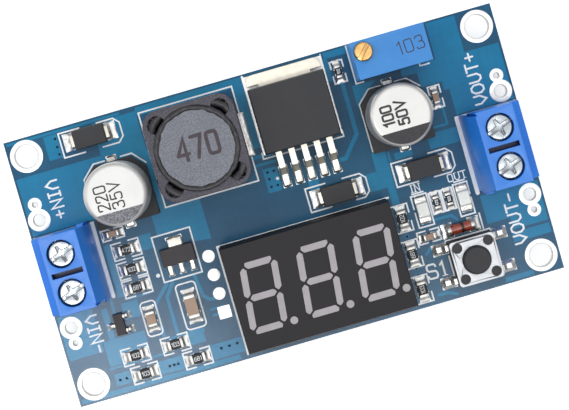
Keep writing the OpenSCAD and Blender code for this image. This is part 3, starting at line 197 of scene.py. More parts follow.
finishLooks = {
    "brightSolder": dict(shades=[(178, 179, 180), (208, 208, 206), (230, 229, 226)], grain=0.3,
        blotch=1.2, stain=(160, 160, 158), share=0.35, rough=(0.2, 0.36), metal=0.85,
        bump=0.012, wave=0.03, waveSize=0.7),
    "padTin": dict(shades=[(226, 227, 227), (242, 242, 240)], grain=0.25, blotch=1.2,
        stain=(206, 205, 202), share=0.3, rough=(0.3, 0.45), metal=0.6, bump=0.008,
        wave=0.015, waveSize=0.8),
    "tinPlate": dict(shades=[(186, 185, 182), (210, 209, 205)], grain=0.12, blotch=0.8,
        stain=(158, 155, 149), share=0.45, rough=(0.24, 0.38), metal=0.85, bump=0.005),
    "leadTin": dict(shades=[(206, 202, 190), (222, 217, 203)], grain=0.1, stretch=(4, 1, 1),
        blotch=0.7, stain=(186, 181, 170), share=0.35, rough=(0.28, 0.42), metal=0.75),
    "blueNylon": dict(shades=[(26, 122, 222), (36, 132, 232)], grain=0.06, blotch=4.0,
        stain=(18, 108, 210), rough=(0.3, 0.42), gloss=0.6, wave=0.015, waveSize=2.5),
    "screwNickel": dict(shades=[(158, 164, 169), (184, 190, 195)], grain=0.1, blotch=0.6,
        stain=(128, 134, 141), rough=(0.2, 0.32), metal=0.85, bump=0.01),
    "cageBrass": dict(shades=[(206, 204, 198), (228, 226, 220)], grain=0.1, blotch=1.0,
        stain=(150, 144, 132), share=0.5, rough=(0.25, 0.4), metal=0.9),
    "displayFace": dict(shades=[(30, 28, 31), (35, 33, 36)], grain=0.08, blotch=5.0,
        stain=(38, 35, 38), share=0.6, rough=(0.5, 0.62), bump=0.003, gloss=0.26),
    "segmentEpoxy": dict(shades=[(158, 154, 158), (172, 168, 173)], grain=0.07, blotch=1.5,
        stain=(180, 176, 181), share=0.5, rough=(0.45, 0.6), bump=0.003, gloss=0.3),
    "mouldedEpoxy": dict(shades=[(46, 47, 49), (56, 56, 59), (66, 66, 69)], grain=0.05, blotch=2.2,
        stain=(50, 51, 55), share=0.5, rough=(0.5, 0.68), bump=0.008, gloss=0.3),
    "brownEpoxy": dict(shades=[(46, 42, 46), (60, 55, 60)], grain=0.045, blotch=1.5,
        stain=(68, 62, 66), rough=(0.42, 0.6), bump=0.006, gloss=0.3),
    "trimmerBlue": dict(shades=[(48, 132, 208), (58, 144, 218)], grain=0.05, blotch=2.5,
        stain=(40, 120, 200), rough=(0.34, 0.46), gloss=0.4, wave=0.012, waveSize=2),
    "screwBrass": dict(shades=[(206, 160, 96), (226, 188, 130)], grain=0.07, blotch=0.5,
        stain=(170, 118, 62), share=0.45, rough=(0.25, 0.4), metal=0.85, bump=0.006),
    "canAluminium": dict(shades=[(186, 186, 184), (196, 195, 193)], grain=0.08,
        stretch=(1, 1, 0.06), blotch=3.0, stain=(176, 177, 176), rough=(0.34, 0.42), metal=0.75,
        bump=0.0005),
    # painted shade: a copy of canAluminium for the input can, with less metal, more roughness and
    # other shades, so the sheen lamps light its top less
    "canAluminiumShaded": dict(shades=[(190, 190, 189), (200, 200, 198)], grain=0.08, stretch=(1, 1, 0.06),
        blotch=3.0, stain=(180, 182, 182), rough=(0.4, 0.5), metal=0.65, bump=0.0005),
    "ferriteShield": dict(shades=[(44, 43, 50), (72, 70, 80), (106, 102, 114)], grain=0.22,
        blotch=2.0, stain=(62, 58, 70), share=0.35, rough=(0.42, 0.62), bump=0.015,
        gloss=0.35),
    "ferriteCore": dict(shades=[(90, 94, 103), (122, 126, 136), (152, 155, 163)], grain=0.18,
        blotch=2.4, stain=(106, 108, 120), share=0.35, rough=(0.5, 0.68), bump=0.012,
        gloss=0.3),
    "enamelledCopper": dict(shades=[(150, 74, 34), (188, 104, 56)], grain=0.1, blotch=1.0,
        stain=(120, 52, 26), rough=(0.2, 0.35), metal=0.7, bump=0.003, coat=0.5),
    "resistorGlaze": dict(shades=[(14, 14, 16), (24, 24, 26)], grain=0.05, blotch=0.6,
        stain=(34, 34, 36), rough=(0.34, 0.48), gloss=0.25),
    "tanCeramic": dict(shades=[(156, 128, 104), (176, 148, 124)], grain=0.05, blotch=0.8,
        stain=(158, 122, 108), share=0.5, rough=(0.35, 0.5)),
    "lampCeramic": dict(shades=[(226, 228, 218), (242, 243, 238)], grain=0.05, blotch=0.6,
        stain=(198, 204, 190), share=0.5, rough=(0.4, 0.55), bump=0.003),
    "coverSteel": dict(shades=[(188, 191, 195), (202, 205, 209)], grain=0.07, stretch=(6, 1, 1),
        blotch=1.6, stain=(180, 184, 188), share=0.35, rough=(0.42, 0.52), metal=0.7,
        bump=0.003),
    "whiteInk": dict(shades=[(240, 244, 247), (252, 253, 254)], grain=0.1, blotch=0.9,
        stain=(230, 236, 241), share=0.5, rough=(0.5, 0.65)),
    "darkInk": dict(shades=[(44, 43, 47), (60, 58, 63)], grain=0.09, blotch=0.7,
        stain=(72, 70, 76), rough=(0.45, 0.6), gloss=0.3),
    "greyInk": dict(shades=[(64, 66, 72), (118, 120, 127), (172, 174, 180)], grain=0.22,
        blotch=0.7, stain=(98, 100, 108), share=0.35, rough=(0.4, 0.55), gloss=0.3),
    "brownInk": dict(shades=[(50, 42, 48), (74, 64, 71)], grain=0.14, blotch=0.6,
        stain=(92, 84, 92), share=0.45, rough=(0.5, 0.65), bump=0.006, gloss=0.3),
    "blackResin": dict(shades=[(22, 21, 25), (40, 38, 43), (62, 60, 66)], grain=0.5, blotch=1.1,
        stain=(34, 32, 38), rough=(0.26, 0.4), gloss=0.35, bump=0.02, wave=0.05, waveSize=0.7),
    # painted shade, dark navy, for the via holes
    "viaHolePaintedShade": dict(shades=[(4, 12, 30), (8, 20, 42)], grain=0.05, blotch=0.3, stain=(12, 26, 54),
        rough=(0.4, 0.5), gloss=0.1, bump=0.002),
    # painted shade for the rims of the terminal screws' driver slots
    "slotShadeOnSteel": dict(shades=[(96, 100, 106), (140, 145, 150)], grain=0.1, blotch=0.4,
        stain=(80, 84, 90), rough=(0.4, 0.55), metal=0.5),
    # painted shade for the rim of the trimmer's driver slot
    "slotShadeOnBrass": dict(shades=[(128, 92, 52), (164, 124, 74)], grain=0.1, blotch=0.4,
        stain=(104, 74, 44), rough=(0.4, 0.55), metal=0.5),
    "diodeInk": dict(shades=[(30, 22, 22), (48, 34, 32)], grain=0.06, blotch=0.4,
        stain=(70, 40, 34), rough=(0.25, 0.4), bump=0.003),
}
finishes = {name: surface(name, look) for name, look in finishLooks.items()}
finishes["solderMask"] = maskFinish("solderMask", (20, 78, 112), (28, 92, 126),
                              ((116, 128, 108), (150, 158, 130)))
finishes["maskOverCopper"] = maskFinish("maskOverCopper", (6, 118, 163), (16, 126, 167))


# the narrow slot between two terminal screws: half its length and width, its lip and depth,
# all in mm, and the colour of the painted shade that darkens its inside
slotShadeLook = {"halfLong": 2.03, "halfWide": 0.34, "lip": 0.03, "deep": 2.52,
            "shade": (12, 34, 112)}


def paintSlotShade(mat):
    tree, shader = mat.node_tree, mat.node_tree.nodes["Principled BSDF"]
    base = shader.inputs["Base Color"].links[0].from_socket
    spots = [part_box("output_" + pole + "_screw") for pole in ("positive", "negative")]
    middle = [sum(low[k] + high[k] for low, high in spots) / 4 for k in range(2)]
    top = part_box("output_terminal_housing")[1].z / mm
    half = slotShadeLook["deep"] / 2
    x, y, z = ownAxes(tree)
    endwise = maths(tree, "ABSOLUTE", x)  # one slot at each end of the board
    inX = maths(tree, "COMPARE", endwise, middle[0], slotShadeLook["halfLong"] * mm)
    inY = maths(tree, "COMPARE", y, middle[1], slotShadeLook["halfWide"] * mm)
    inZ = maths(tree, "COMPARE", z, (top - slotShadeLook["lip"] - half) * mm, half * mm)
    inside = maths(tree, "MULTIPLY", maths(tree, "MULTIPLY", inX, inY), inZ)
    # painted shade: the walls and floor inside each slot are darkened, standing in for the shade
    # deep in the slot
    plug(tree, shader, {"Base Color": blendColours(tree, inside, base, tint(*slotShadeLook["shade"]))})


paintSlotShade(finishes["blueNylon"])


def glassFinish(name, shades, rough, passes):
    mat, tree, shader = newFinish(name)
    streak = grain(tree, 0.3, 2.0, 0.5)
    plug(tree, shader, {
        "Base Color": stops(tree, streak, [tint(*shade) for shade in shades]),
        "Roughness": spread(tree, streak, rough, rough + 0.08), "Transmission Weight": passes,
        "IOR": 1.5, "Coat Weight": 0.6})
    bumps(tree, shader, streak, 0.004, 0.3)
    return mat


finishes["amberGlass"] = glassFinish("amberGlass", ((148, 48, 30), (206, 96, 62)), 0.1, 0.3)
finishes["clearEpoxy"] = glassFinish("clearEpoxy", ((238, 244, 234), (252, 253, 250)), 0.12, 0.1)
print("finishes ready:", len(finishes))


# mesh helpers

def addPiece(name, bm, finish, body="board", smooth=True):
    mesh = bpy.data.meshes.new(name)
    bmesh.ops.recalc_face_normals(bm, faces=bm.faces)
    bm.to_mesh(mesh)
    bm.free()
    if smooth:
        mesh.shade_smooth()
    mesh.materials.append(finishes[finish])
    obj = bpy.data.objects.new(name, mesh)
    scene.collection.objects.link(obj)
    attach(obj, body)


def point(x, y, z):
    return Vector((x * mm, y * mm, z * mm))


def bridge(bm, loops, joined=False):
    # faces between each ring of corners and the next one
    for one, two in zip(loops, loops[1:] + (loops[:1] if joined else [])):
        for k in range(len(one)):
            m = (k + 1) % len(one)
            bm.faces.new((one[k], one[m], two[m], two[k]))


def sheet(bm, across, along, place):
    # a grid of faces whose corners are place(u, v), with u and v from 0 to 1
    grid = [[bm.verts.new(place(i / across, j / along)) for j in range(along + 1)]
            for i in range(across + 1)]
    for i in range(across):
        for j in range(along):
            bm.faces.new((grid[i][j], grid[i + 1][j], grid[i + 1][j + 1], grid[i][j + 1]))


def islands(node):
    # low and high corners, in mm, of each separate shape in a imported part
    bm = bmesh.new()
    bm.from_mesh(nodes[node].data)
    bmesh.ops.remove_doubles(bm, verts=bm.verts, dist=1e-6)
    seen, found = set(), []
    for start in bm.verts:
        if start.index in seen:
            continue
        stack, low, high = [start], Vector(start.co), Vector(start.co)
        seen.add(start.index)
        while stack:
            vert = stack.pop()
            for axis in range(3):
                low[axis] = min(low[axis], vert.co[axis])
                high[axis] = max(high[axis], vert.co[axis])
            for edge in vert.link_edges:
                other = edge.other_vert(vert)
                if other.index not in seen:
                    seen.add(other.index)
                    stack.append(other)
        found.append((low / mm, high / mm))
    bm.free()
    return sorted(found, key=lambda b: (round(b[0].x, 2), round(b[0].y, 2), b[0].z))


def ringPath(cx, cy, r, begin=0, end=360, count=32):
    # an arc, or a full circle without its last corner
    return [(cx + r * math.cos(math.radians(begin + (end - begin) * i / count)),
             cy + r * math.sin(math.radians(begin + (end - begin) * i / count)))
            for i in range(count + (end - begin < 360))]


def inkStroke(drawing, points, width, closed=False):
    # the outlines of a line with mitred corners and round ends
    path = [Vector(p[:2]) for p in points]
    half, count = width / 2, len(path)
    left, right = [], []
    for i, here in enumerate(path):
        ways = []
        if i > 0 or closed:
            ways.append((here - path[i - 1]).normalized())
        if i < count - 1 or closed:
            ways.append((path[(i + 1) % count] - here).normalized())
        along = ways[0] + ways[-1]
        along = along.normalized() if along.length > 1e-6 else ways[0]
        side = Vector((-along.y, along.x))
        reach = half / max(0.4, side.dot(Vector((-ways[0].y, ways[0].x))))
        left.append(here + side * reach)
        right.append(here - side * reach)
    for i in range(count if closed else count - 1):
        j = (i + 1) % count
        quad = [right[i], right[j], left[j], left[i]]
        drawing.append([quad[k] for k in geometry.convex_hull_2d(quad)])
    if not closed:
        drawing.extend(ringPath(end.x, end.y, half, count=10) for end in (path[0], path[-1]))


def raiseDrawing(bm, drawing, z, rise, holes=()):
    # one flat raised sheet from outlines that may overlap, with round holes left open
    outlines = []
    for outline in drawing:
        corners = [Vector(p[:2]) for p in outline]
        turn = sum(a.x * b.y - b.x * a.y for a, b in zip(corners, corners[1:] + corners[:1]))
        outlines.append(corners if turn > 0 else corners[::-1])
    rounds = [[Vector(p) for p in ringPath(x, y, r, count=36)] for x, y, r in holes]
    flat, loops = [], []
    for outline in outlines + rounds:
        loops.append(list(range(len(flat), len(flat) + len(outline))))
        flat += outline
    spots, _, cells, _, _, owners = geometry.delaunay_2d_cdt(flat, [], loops, 0, 1e-5)
    kept = [cell for cell, owner in zip(cells, owners)
            if owner and max(owner) < len(outlines)]
    used = sorted({i for cell in kept for i in cell})
    top = {i: bm.verts.new(point(spots[i].x, spots[i].y, z + rise)) for i in used}
    low, sides = {}, {}
    for cell in kept:
        bm.faces.new([top[i] for i in cell])
        for i, j in zip(cell, cell[1:] + cell[:1]):
            sides.setdefault((min(i, j), max(i, j)), []).append((i, j))
    for uses in sides.values():
        if len(uses) > 1:
            continue
        i, j = uses[0]
        for k in (i, j):
            if k not in low:
                low[k] = bm.verts.new(point(spots[k].x, spots[k].y, z))
        bm.faces.new((top[j], top[i], low[i], low[j]))


def addDrawing(name, drawing, z, rise, finish, body="board", holes=()):
    bm = bmesh.new()
    raiseDrawing(bm, drawing, z, rise, holes)
    addPiece(name, bm, finish, body, smooth=False)


def rect(x0, y0, x1, y1):
    return [(x0, y0), (x1, y0), (x1, y1), (x0, y1)]


def soften(points, rounds):
    # corner cutting; a corner given twice stays tight
    for _ in range(rounds):
        fresh = [points[0]]
        for a, b in zip(points, points[1:]):
            fresh += [(a[0] * 0.75 + b[0] * 0.25, a[1] * 0.75 + b[1] * 0.25),
                      (a[0] * 0.25 + b[0] * 0.75, a[1] * 0.25 + b[1] * 0.75)]
        fresh.append(points[-1])
        points = [p for i, p in enumerate(fresh)
                  if i == 0 or math.dist(p, fresh[i - 1]) > 1e-5]
    return points


def oval(width):
    half = width / 2
    return (width, 2, [[(half, 0), (0, 0), (0, 0.5), (0, 1), (half, 1), (width, 1), (width, 0.5),
                        (width, 0), (half, 0)]])


# strokes of each sign on a box one unit high: width, rounded or straight, lines
signs = {
    "V": (0.66, 0, [[(0, 1), (0, 0.5), (0.33, 0), (0.66, 0.5), (0.66, 1)]]),
    "v": (0.72, 0, [[(0, 1), (0.36, 0), (0.72, 1)]]),
    "I": (0.4, 0, [[(0.2, 0), (0.2, 1)], [(0, 0), (0.4, 0)], [(0, 1), (0.4, 1)]]),
    "i": (0.12, 0, [[(0.06, 0), (0.06, 1)]]),
    "N": (0.62, 0, [[(0, 0), (0, 1), (0.62, 0), (0.62, 1)]]),
    "O": (0.68, 0, [[(0.34, 0), (0.2, 0), (0, 0.26), (0, 0.74), (0.2, 1), (0.48, 1),
                     (0.68, 0.74), (0.68, 0.26), (0.48, 0), (0.34, 0)]]),
    "o": oval(0.66),
    "U": (0.64, 0, [[(0, 1), (0, 0.26), (0.2, 0), (0.44, 0), (0.64, 0.26), (0.64, 1)]]),
    "T": (0.66, 0, [[(0, 1), (0.66, 1)], [(0.33, 1), (0.33, 0)]]),
    "S": (0.55, 2, [[(0.53, 0.82), (0.48, 1), (0.27, 1), (0.02, 1), (0.02, 0.55), (0.27, 0.52),
                     (0.55, 0.48), (0.55, 0), (0.27, 0), (0.04, 0), (0, 0.2)]]),
    "+": (0.6, 0, [[(0, 0.5), (0.6, 0.5)], [(0.3, 0.8), (0.3, 0.2)]]),
    "-": (0.55, 0, [[(0, 0.5), (0.55, 0.5)]]),
    "0": oval(0.56),
    "1": (0.3, 0, [[(0.02, 0.8), (0.24, 1), (0.24, 0)]]),
    "2": (0.54, 2, [[(0.02, 0.72), (0.02, 1), (0.28, 1), (0.54, 1), (0.54, 0.66), (0.3, 0.36),
                     (0, 0.04), (0, 0), (0, 0), (0.55, 0)]]),
    "3": (0.54, 2, [[(0.02, 0.85), (0.08, 1), (0.28, 1), (0.52, 1), (0.52, 0.56), (0.24, 0.54)],
                    [(0.24, 0.54), (0.56, 0.52), (0.56, 0), (0.28, 0), (0.04, 0), (0, 0.16)]]),
    "4": (0.6, 0, [[(0.46, 0), (0.46, 1), (0, 0.28)], [(0, 0.28), (0.6, 0.28)]]),
    "5": (0.54, 2, [[(0.5, 1), (0.08, 1), (0.08, 1), (0.04, 0.54), (0.04, 0.54), (0.2, 0.62),
                     (0.55, 0.62), (0.55, 0), (0.28, 0), (0.04, 0), (0, 0.14)]]),
    "6": (0.54, 2, [[(0.48, 1), (0.2, 0.9), (0, 0.55), (0, 0), (0.28, 0), (0.55, 0),
                     (0.55, 0.58), (0.28, 0.58), (0.03, 0.58), (0.02, 0.3)]]),
    "7": (0.54, 0, [[(0, 1), (0.54, 1), (0.18, 0)]]),
    "8": (0.54, 2, [[(0.27, 0.53), (0.02, 0.53), (0.02, 1), (0.27, 1), (0.52, 1), (0.52, 0.53),
                     (0.27, 0.53)], [(0.27, 0.53), (0, 0.53), (0, 0), (0.27, 0), (0.55, 0),
                                     (0.55, 0.53), (0.27, 0.53)]]),
}


def writeSigns(drawing, text, origin, height, degrees, pen, gap=0.26, squeeze=1.0,
               centred=False):
    turn = Matrix.Rotation(math.radians(degrees), 2)
    widths = [signs[c][0] * squeeze for c in text]
    total = sum(widths) + gap * (len(text) - 1)
    x, drop = (-total / 2, 0.5) if centred else (0, 0)
    for c, wide in zip(text, widths):
        _, rounds, lines = signs[c]
        for line in lines:
            path = soften(line, rounds)
            spots = [Vector(origin) + turn @ Vector((x + px * squeeze, py - drop)) * height
                     for px, py in path]
            inkStroke(drawing, spots, pen)
        x += wide + gap


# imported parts: softened edges and their finishes

dressing = {
    # finish: its parts, with the rounding of their edges in mm
    "solderMask": {"circuit_board": 0},
    "padTin": {"tinned_pads": 0.012, "inductor_clips": 0.05},
    "brightSolder": {"solder_joints": 0},
    "blueNylon": {"input_terminal_housing": 0.1, "output_terminal_housing": 0.1},
    "cageBrass": {"input_contacts": 0.05, "output_contacts": 0.05},
    "displayFace": {"display_housing": 0.08},
    "segmentEpoxy": {"display_segments": 0},
    "tinPlate": {"display_pins": 0, "trimmer_pins": 0, "input_capacitor_leads": 0.05,
        "output_capacitor_leads": 0.05, "signal_diode_caps": 0.05, "resistor_ends": 0.05,
        "ceramic_capacitor_ends": 0.07, "lamp_ends": 0.03, "button_leads": 0.04},
    "leadTin": {"controller_leads": 0, "regulator_tab": 0.06, "regulator_leads": 0.05,
        "power_diode_leads": 0.03, "meter_regulator_leads": 0.03, "transistor_leads": 0.02},
    "mouldedEpoxy": {"controller_chip": 0.05, "input_capacitor_base": 0.12,
        "output_capacitor_base": 0.12, "inductor_base": 0.1, "regulator_body": 0.12,
        "power_diode_bodies": 0.08, "button_housing": 0.05, "button_plunger": 0.15},
    "brownEpoxy": {"meter_regulator_body": 0.07, "transistor_body": 0.05},
    "trimmerBlue": {"trimmer_housing": 0.12},
    "screwBrass": {"trimmer_screw": 0.05},
    "canAluminium": {"output_capacitor_can": 0},
    # the input can takes the shaded copy of the can aluminium
    "canAluminiumShaded": {"input_capacitor_can": 0},
    "ferriteShield": {"inductor_shield": 0.14},
    "ferriteCore": {"inductor_core": 0.12},
    "enamelledCopper": {"inductor_winding": 0},
    "amberGlass": {"signal_diode_glass": 0},
    "resistorGlaze": {"resistor_bodies": 0.03},
    "tanCeramic": {"ceramic_capacitor_bodies": 0.05},
    "lampCeramic": {"lamp_bases": 0.03},
    "clearEpoxy": {"lamp_lenses": 0.12},
    "coverSteel": {"button_cover": 0.05, "button_dome": 0},
}
poles = ("input_positive", "input_negative", "output_positive", "output_negative")
dressing["screwNickel"] = {pole + "_screw": 0.1 for pole in poles}
dressing["cageBrass"].update({pole + "_clamp": 0.05 for pole in poles})

for name, part in nodes.items():
    finish = [key for key, parts in dressing.items() if name in parts][0]
    rounding = dressing[finish][name]
    part.data.materials.clear()
    part.data.materials.append(finishes[finish])
    part.data.shade_smooth()
    if not rounding:
        continue
    weld = part.modifiers.new("weld", "WELD")
    weld.merge_threshold = 0.001 * mm
    bevel = part.modifiers.new("softEdges", "BEVEL")
    bevel.width = rounding * mm
    bevel.segments = 3
    bevel.limit_method = "ANGLE"
    bevel.angle_limit = math.radians(32)
    even = part.modifiers.new("evenShading", "WEIGHTED_NORMAL")
    even.weight = 100
    even.keep_sharp = True
print("packed parts dressed:", len(nodes))


# board: copper under the mask, plated holes, vias

copperUnderMask = {
    "rise": 0.018, "holeGap": 0.08,
    # filled areas, corner by corner
    "areas": [
        rect(-32.7, 5.2, -21.2, 12.95), rect(-27.8, 14.1, -26.0, 17.3),
        [(-32.7, 17.75), (-17.4, 17.75), (-17.4, 17.4), (-32.7, 17.4)],
        rect(-21.2, 11.9, -15.3, 17.3), rect(-17.2, 3.9, -15.1, 12.0),
        rect(-15.3, 16.6, -0.4, 17.75), rect(-2.3, 8.2, -0.8, 16.7),
        [(-17.1, 4.1), (-10.4, 4.1), (-10.4, -1.45), (-12.8, -1.15), (-12.8, 0.9), (-17.1, 0.9)],
        rect(-19.5, -0.5, -17.9, 1.5), rect(-24.3, -5.6, -23.4, 1.5),
        rect(-23.3, -6.2, -20.0, -5.9), rect(-14.4, -3.2, -12.9, -1.2),
        rect(-32.7, -11.8, -28.0, -5.9), rect(-27.8, -14.0, -22.2, -10.6),
        rect(-26.9, -10.6, -26.1, -6.4), rect(-24.2, -8.6, -22.0, -6.4),
        rect(-27.6, -16.7, -25.6, -15.1), rect(-21.7, -16.9, -18.3, -15.1),
        rect(-14.6, -16.9, -10.2, -14.9), rect(-32.7, -17.75, -11.0, -17.1),
        rect(-19.6, -14.2, -14.8, -12.3), rect(-16.2, -12.9, -14.6, -12.3),
        rect(-1.5, 2.1, 0.35, 5.3), rect(3.8, 0.9, 5.2, 2.3),
        rect(10.2, 16.9, 13.2, 17.75), rect(9.95, 13.9, 10.6, 17.0),
        [(12.75, 12.55), (15.9, 12.55), (12.75, 9.6)],
        [(12.75, 3.4), (14.6, 3.4), (14.6, -3.9), (13.6, -3.9), (13.6, -1.45), (11.3, -1.45),
         (11.3, 0.95), (12.75, 0.95)],
        rect(19.4, 11.9, 24.4, 12.9), rect(24.2, 8.7, 28.1, 17.75), rect(21.4, 9.9, 24.3, 12.0),
        rect(28.0, 5.2, 32.7, 12.75), rect(24.9, 5.2, 28.1, 8.8), rect(20.4, 1.75, 24.4, 3.75),
        rect(15.6, 1.7, 18.0, 2.6), rect(24.9, -9.7, 28.1, -5.9), rect(28.0, -11.3, 32.7, -5.9),
        rect(25.2, -17.75, 29.0, -17.1), rect(27.6, -13.0, 32.7, -11.7),
    ],
    # tracks: width, then the points they run through
    "tracks": [
        (0.55, [(11.65, 13.2), (11.65, 6.4), (9.4, 3.75), (8.7, 3.75)]),
        (0.5, [(-2.3, 7.1), (0.4, 7.1)]), (0.35, [(-2.3, 6.0), (0.4, 6.0)]),
        (0.35, [(18.4, -7.25), (20.6, -7.25), (21.2, -8.0)]),
        (0.4, [(-25.3, -5.6), (-25.3, -7.4)]),
        (0.35, [(-24.6, -9.6), (-23.9, -9.6), (-23.4, -10.4)]),
        (0.45, [(-17.7, -5.6), (-19.9, -7.8), (-19.9, -12.3)]),
        (0.45, [(-16.9, -5.6), (-18.1, -7.2), (-18.1, -12.3)]),
        (0.45, [(-13.9, -5.4), (-13.5, -8.4), (-12.7, -9.1), (-11.4, -9.1)]),
        (0.35, [(-12.9, -11.2), (-11.4, -11.2)]), (0.35, [(-13.0, -10.4), (-11.4, -10.4)]),
        (0.3, [(20.6, 4.4), (23.4, 4.4), (23.4, 7.6)]), (0.3, [(14.9, 2.9), (14.9, 1.6)]),
        (0.3, [(-27.9, -14.3), (-20.8, -14.3)]), (0.4, [(16.1, -11.3), (17.2, -10.4)]),
        (0.4, [(16.2, -16.9), (17.4, -16.9), (18.6, -17.4)]),
    ],
}
rings = [b for b in islands("tinned_pads") if b[1].z > boardTop]
# the rings of the screw holes are round and 4 to 6 mm across
screwRings = [b for b in rings if abs((b[1] - b[0]).x - (b[1] - b[0]).y) < 0.05
              and 4 < (b[1] - b[0]).x < 6]
wireHoles = [(m["pos_m"][0] / mm, m["pos_m"][1] / mm, m["dims"]["r_mm"])
             for m in frame["record"]["mounts"] if m["kind"] == "bore"]
screwHole = [m for m in frame["record"]["mounts"] if m["kind"] == "bolt_pattern"][0]["dims"]
holes = [((b[0].x + b[1].x) / 2, (b[0].y + b[1].y) / 2, screwHole["hole_r_mm"])
         for b in screwRings] + wireHoles
drawing = list(copperUnderMask["areas"])
for width, path in copperUnderMask["tracks"]:
    inkStroke(drawing, path, width)
addDrawing("copper_under_mask", drawing, boardTop, copperUnderMask["rise"], "maskOverCopper",
           holes=[(x, y, r + copperUnderMask["holeGap"]) for x, y, r in holes])

vias = {
    "ring": 0.32, "hole": 0.17, "rise": 0.022, "holeRise": 0.02,
    "places": [(-26.35, 16.7), (-26.35, 15.6), (-26.35, 14.6), (-27.05, -16), (-26.15, -16),
               (-20.3, -16.05), (-19.7, -16.05), (-19.15, -16.05), (-13.15, -15.65),
               (-12.05, -15.65), (-10.95, -15.6), (-0.95, 4.8), (-0.1, 4.8), (-0.95, 3.9),
               (-0.95, 2.85), (-0.1, 2.85), (14.3, -8.35), (14.3, -12.75), (14.3, -13.6)],
}
addDrawing("via_rings", [ringPath(x, y, vias["ring"], count=18) for x, y in vias["places"]],
           boardTop, vias["rise"], "maskOverCopper",
           holes=[(x, y, vias["hole"]) for x, y in vias["places"]])
# painted shade: a dark disc under each via ring stands in for the shade down its hole
addDrawing("via_hole_painted_shade", [ringPath(x, y, vias["hole"], count=18) for x, y in vias["places"]],
           boardTop, vias["holeRise"], "viaHolePaintedShade")

# plated walls inside the screw holes and the wire holes, with a rolled lip
plating = {
    "steps": 40,
    # each turn, from the lip to the wall: distance out from the hole, height over the pad
    "turns": [(0.05, 0.004), (0.01, 0.008), (-0.0245, -0.01), (-0.035, -0.06)],
}
bm = bmesh.new()
for cx, cy, r in holes:
    profile = [(r + out, padTop + z) for out, z in plating["turns"]]
    profile += [(r + out, boardTop - padTop - z) for out, z in plating["turns"][::-1]]
    bridge(bm, [[bm.verts.new(point(x, y, z))
                 for x, y in ringPath(cx, cy, q, count=plating["steps"])] for q, z in profile])
addPiece("hole_plating", bm, "tinPlate")
print("board copper, vias and plating done:", len(holes), "plated holes")


# solder on the flat pads

solderLook = {"crown": 0.08, "climb": 0.6, "tallest": 0.36, "reach": 0.16, "ripple": 0.03,
              "rippleSize": 1.7, "foot": 0.004, "cell": 0.1, "cells": (4, 40), "corner": 0.1,
              "leadUnder": 3.2, "widest": 12, "holeGap": 0.1}
wetted = ("resistor_ends", "ceramic_capacitor_ends", "lamp_ends", "signal_diode_caps",
          "power_diode_leads", "regulator_leads", "regulator_tab", "meter_regulator_leads",
          "transistor_leads", "button_leads", "input_capacitor_leads", "output_capacitor_leads",
          "inductor_clips")
ends = [(name, low, high) for name in wetted for low, high in islands(name)]


def solderHeight(x, y, low, high, touching, seed):
    # rounded mound that falls to the pad's edge and climbs the metal it wets
    half = (high - low) / 2
    u = abs(x - (low.x + high.x) / 2) / half.x
    v = abs(y - (low.y + high.y) / 2) / half.y
    edge = max(0.0, 1 - u ** 6) ** 0.5 * max(0.0, 1 - v ** 6) ** 0.5
    rise = solderLook["crown"]
    for _, a, b in touching:
        away = math.hypot(max(a.x - x, 0, x - b.x), max(a.y - y, 0, y - b.y))
        tall = min((b.z - padTop) * solderLook["climb"], solderLook["tallest"])
        rise += tall * math.exp(-away / solderLook["reach"])
    wobble = noise.noise(Vector((x, y, 0)) * solderLook["rippleSize"] + Vector((0, 0, seed)))
    return edge * (rise + solderLook["ripple"] * wobble) + solderLook["foot"]


bm = bmesh.new()
mounds = 0
for seed, (low, high) in enumerate(rings):
    size, middle = high - low, (low + high) / 2
    gap = solderLook["holeGap"]
    if (low, high) in screwRings or max(size.x, size.y) > solderLook["widest"] or any(
            low.x - gap < x < high.x + gap and low.y - gap < y < high.y + gap
            for x, y, r in wireHoles):
        continue
    touching = [(name, a, b) for name, a, b in ends
                if a.x < high.x and b.x > low.x and a.y < high.y and b.y > low.y
                and b.z - padTop < solderLook["leadUnder"]]
    metals = {name for name, a, b in touching}
    if not touching or metals & {"regulator_tab", "inductor_clips"}:
        continue

    def moundAt(u, v):
        # the corners are pulled in, so the mound's foot is rounded
        pull = 1 - solderLook["corner"] * ((2 * u - 1) * (2 * v - 1)) ** 2
        x = middle.x + (u - 0.5) * size.x * pull
        y = middle.y + (v - 0.5) * size.y * pull
        return point(x, y, padTop + solderHeight(x, y, low, high, touching, seed))

    fewest, most = solderLook["cells"]
    sheet(bm, max(fewest, min(most, int(size.x / solderLook["cell"]))),
          max(fewest, min(most, int(size.y / solderLook["cell"]))), moundAt)
    mounds += 1
addPiece("solder_on_pads", bm, "brightSolder")
print("solder mounds:", mounds)


# white ink

inkLook = {"pen": 0.2, "rise": 0.02}
drawing = []


def ink(*path, pen=None, closed=False):
    inkStroke(drawing, path, pen or inkLook["pen"], closed)


def frameInk(x0, y0, x1, y1, gapX=None, pen=None):
    # a box of ink; gapX opens it in the middle of its long sides
    if gapX is None:
        ink((x0, y0), (x0, y1), (x1, y1), (x1, y0), pen=pen, closed=True)
        return
    ink((gapX[1], y1), (x1, y1), (x1, y0), (gapX[1], y0), pen=pen)
    ink((gapX[0], y1), (x0, y1), (x0, y0), (gapX[0], y0), pen=pen)


# screw terminals
ink((24.6, 4.9), (32.7, 4.9))
ink((24.75, 4.75), (24.75, -5.4), pen=0.55)
ink((-24.6, 4.9), (-32.7, 4.9))
ink((-24.8, 4.75), (-24.8, -5.2), pen=0.5)
# trimmer
ink((14.0, 17.75), (13.4, 17.75), (13.4, 12.7), (14.4, 12.7))
ink((22.05, 13.3), (22.05, 12.65), (23.3, 12.65))
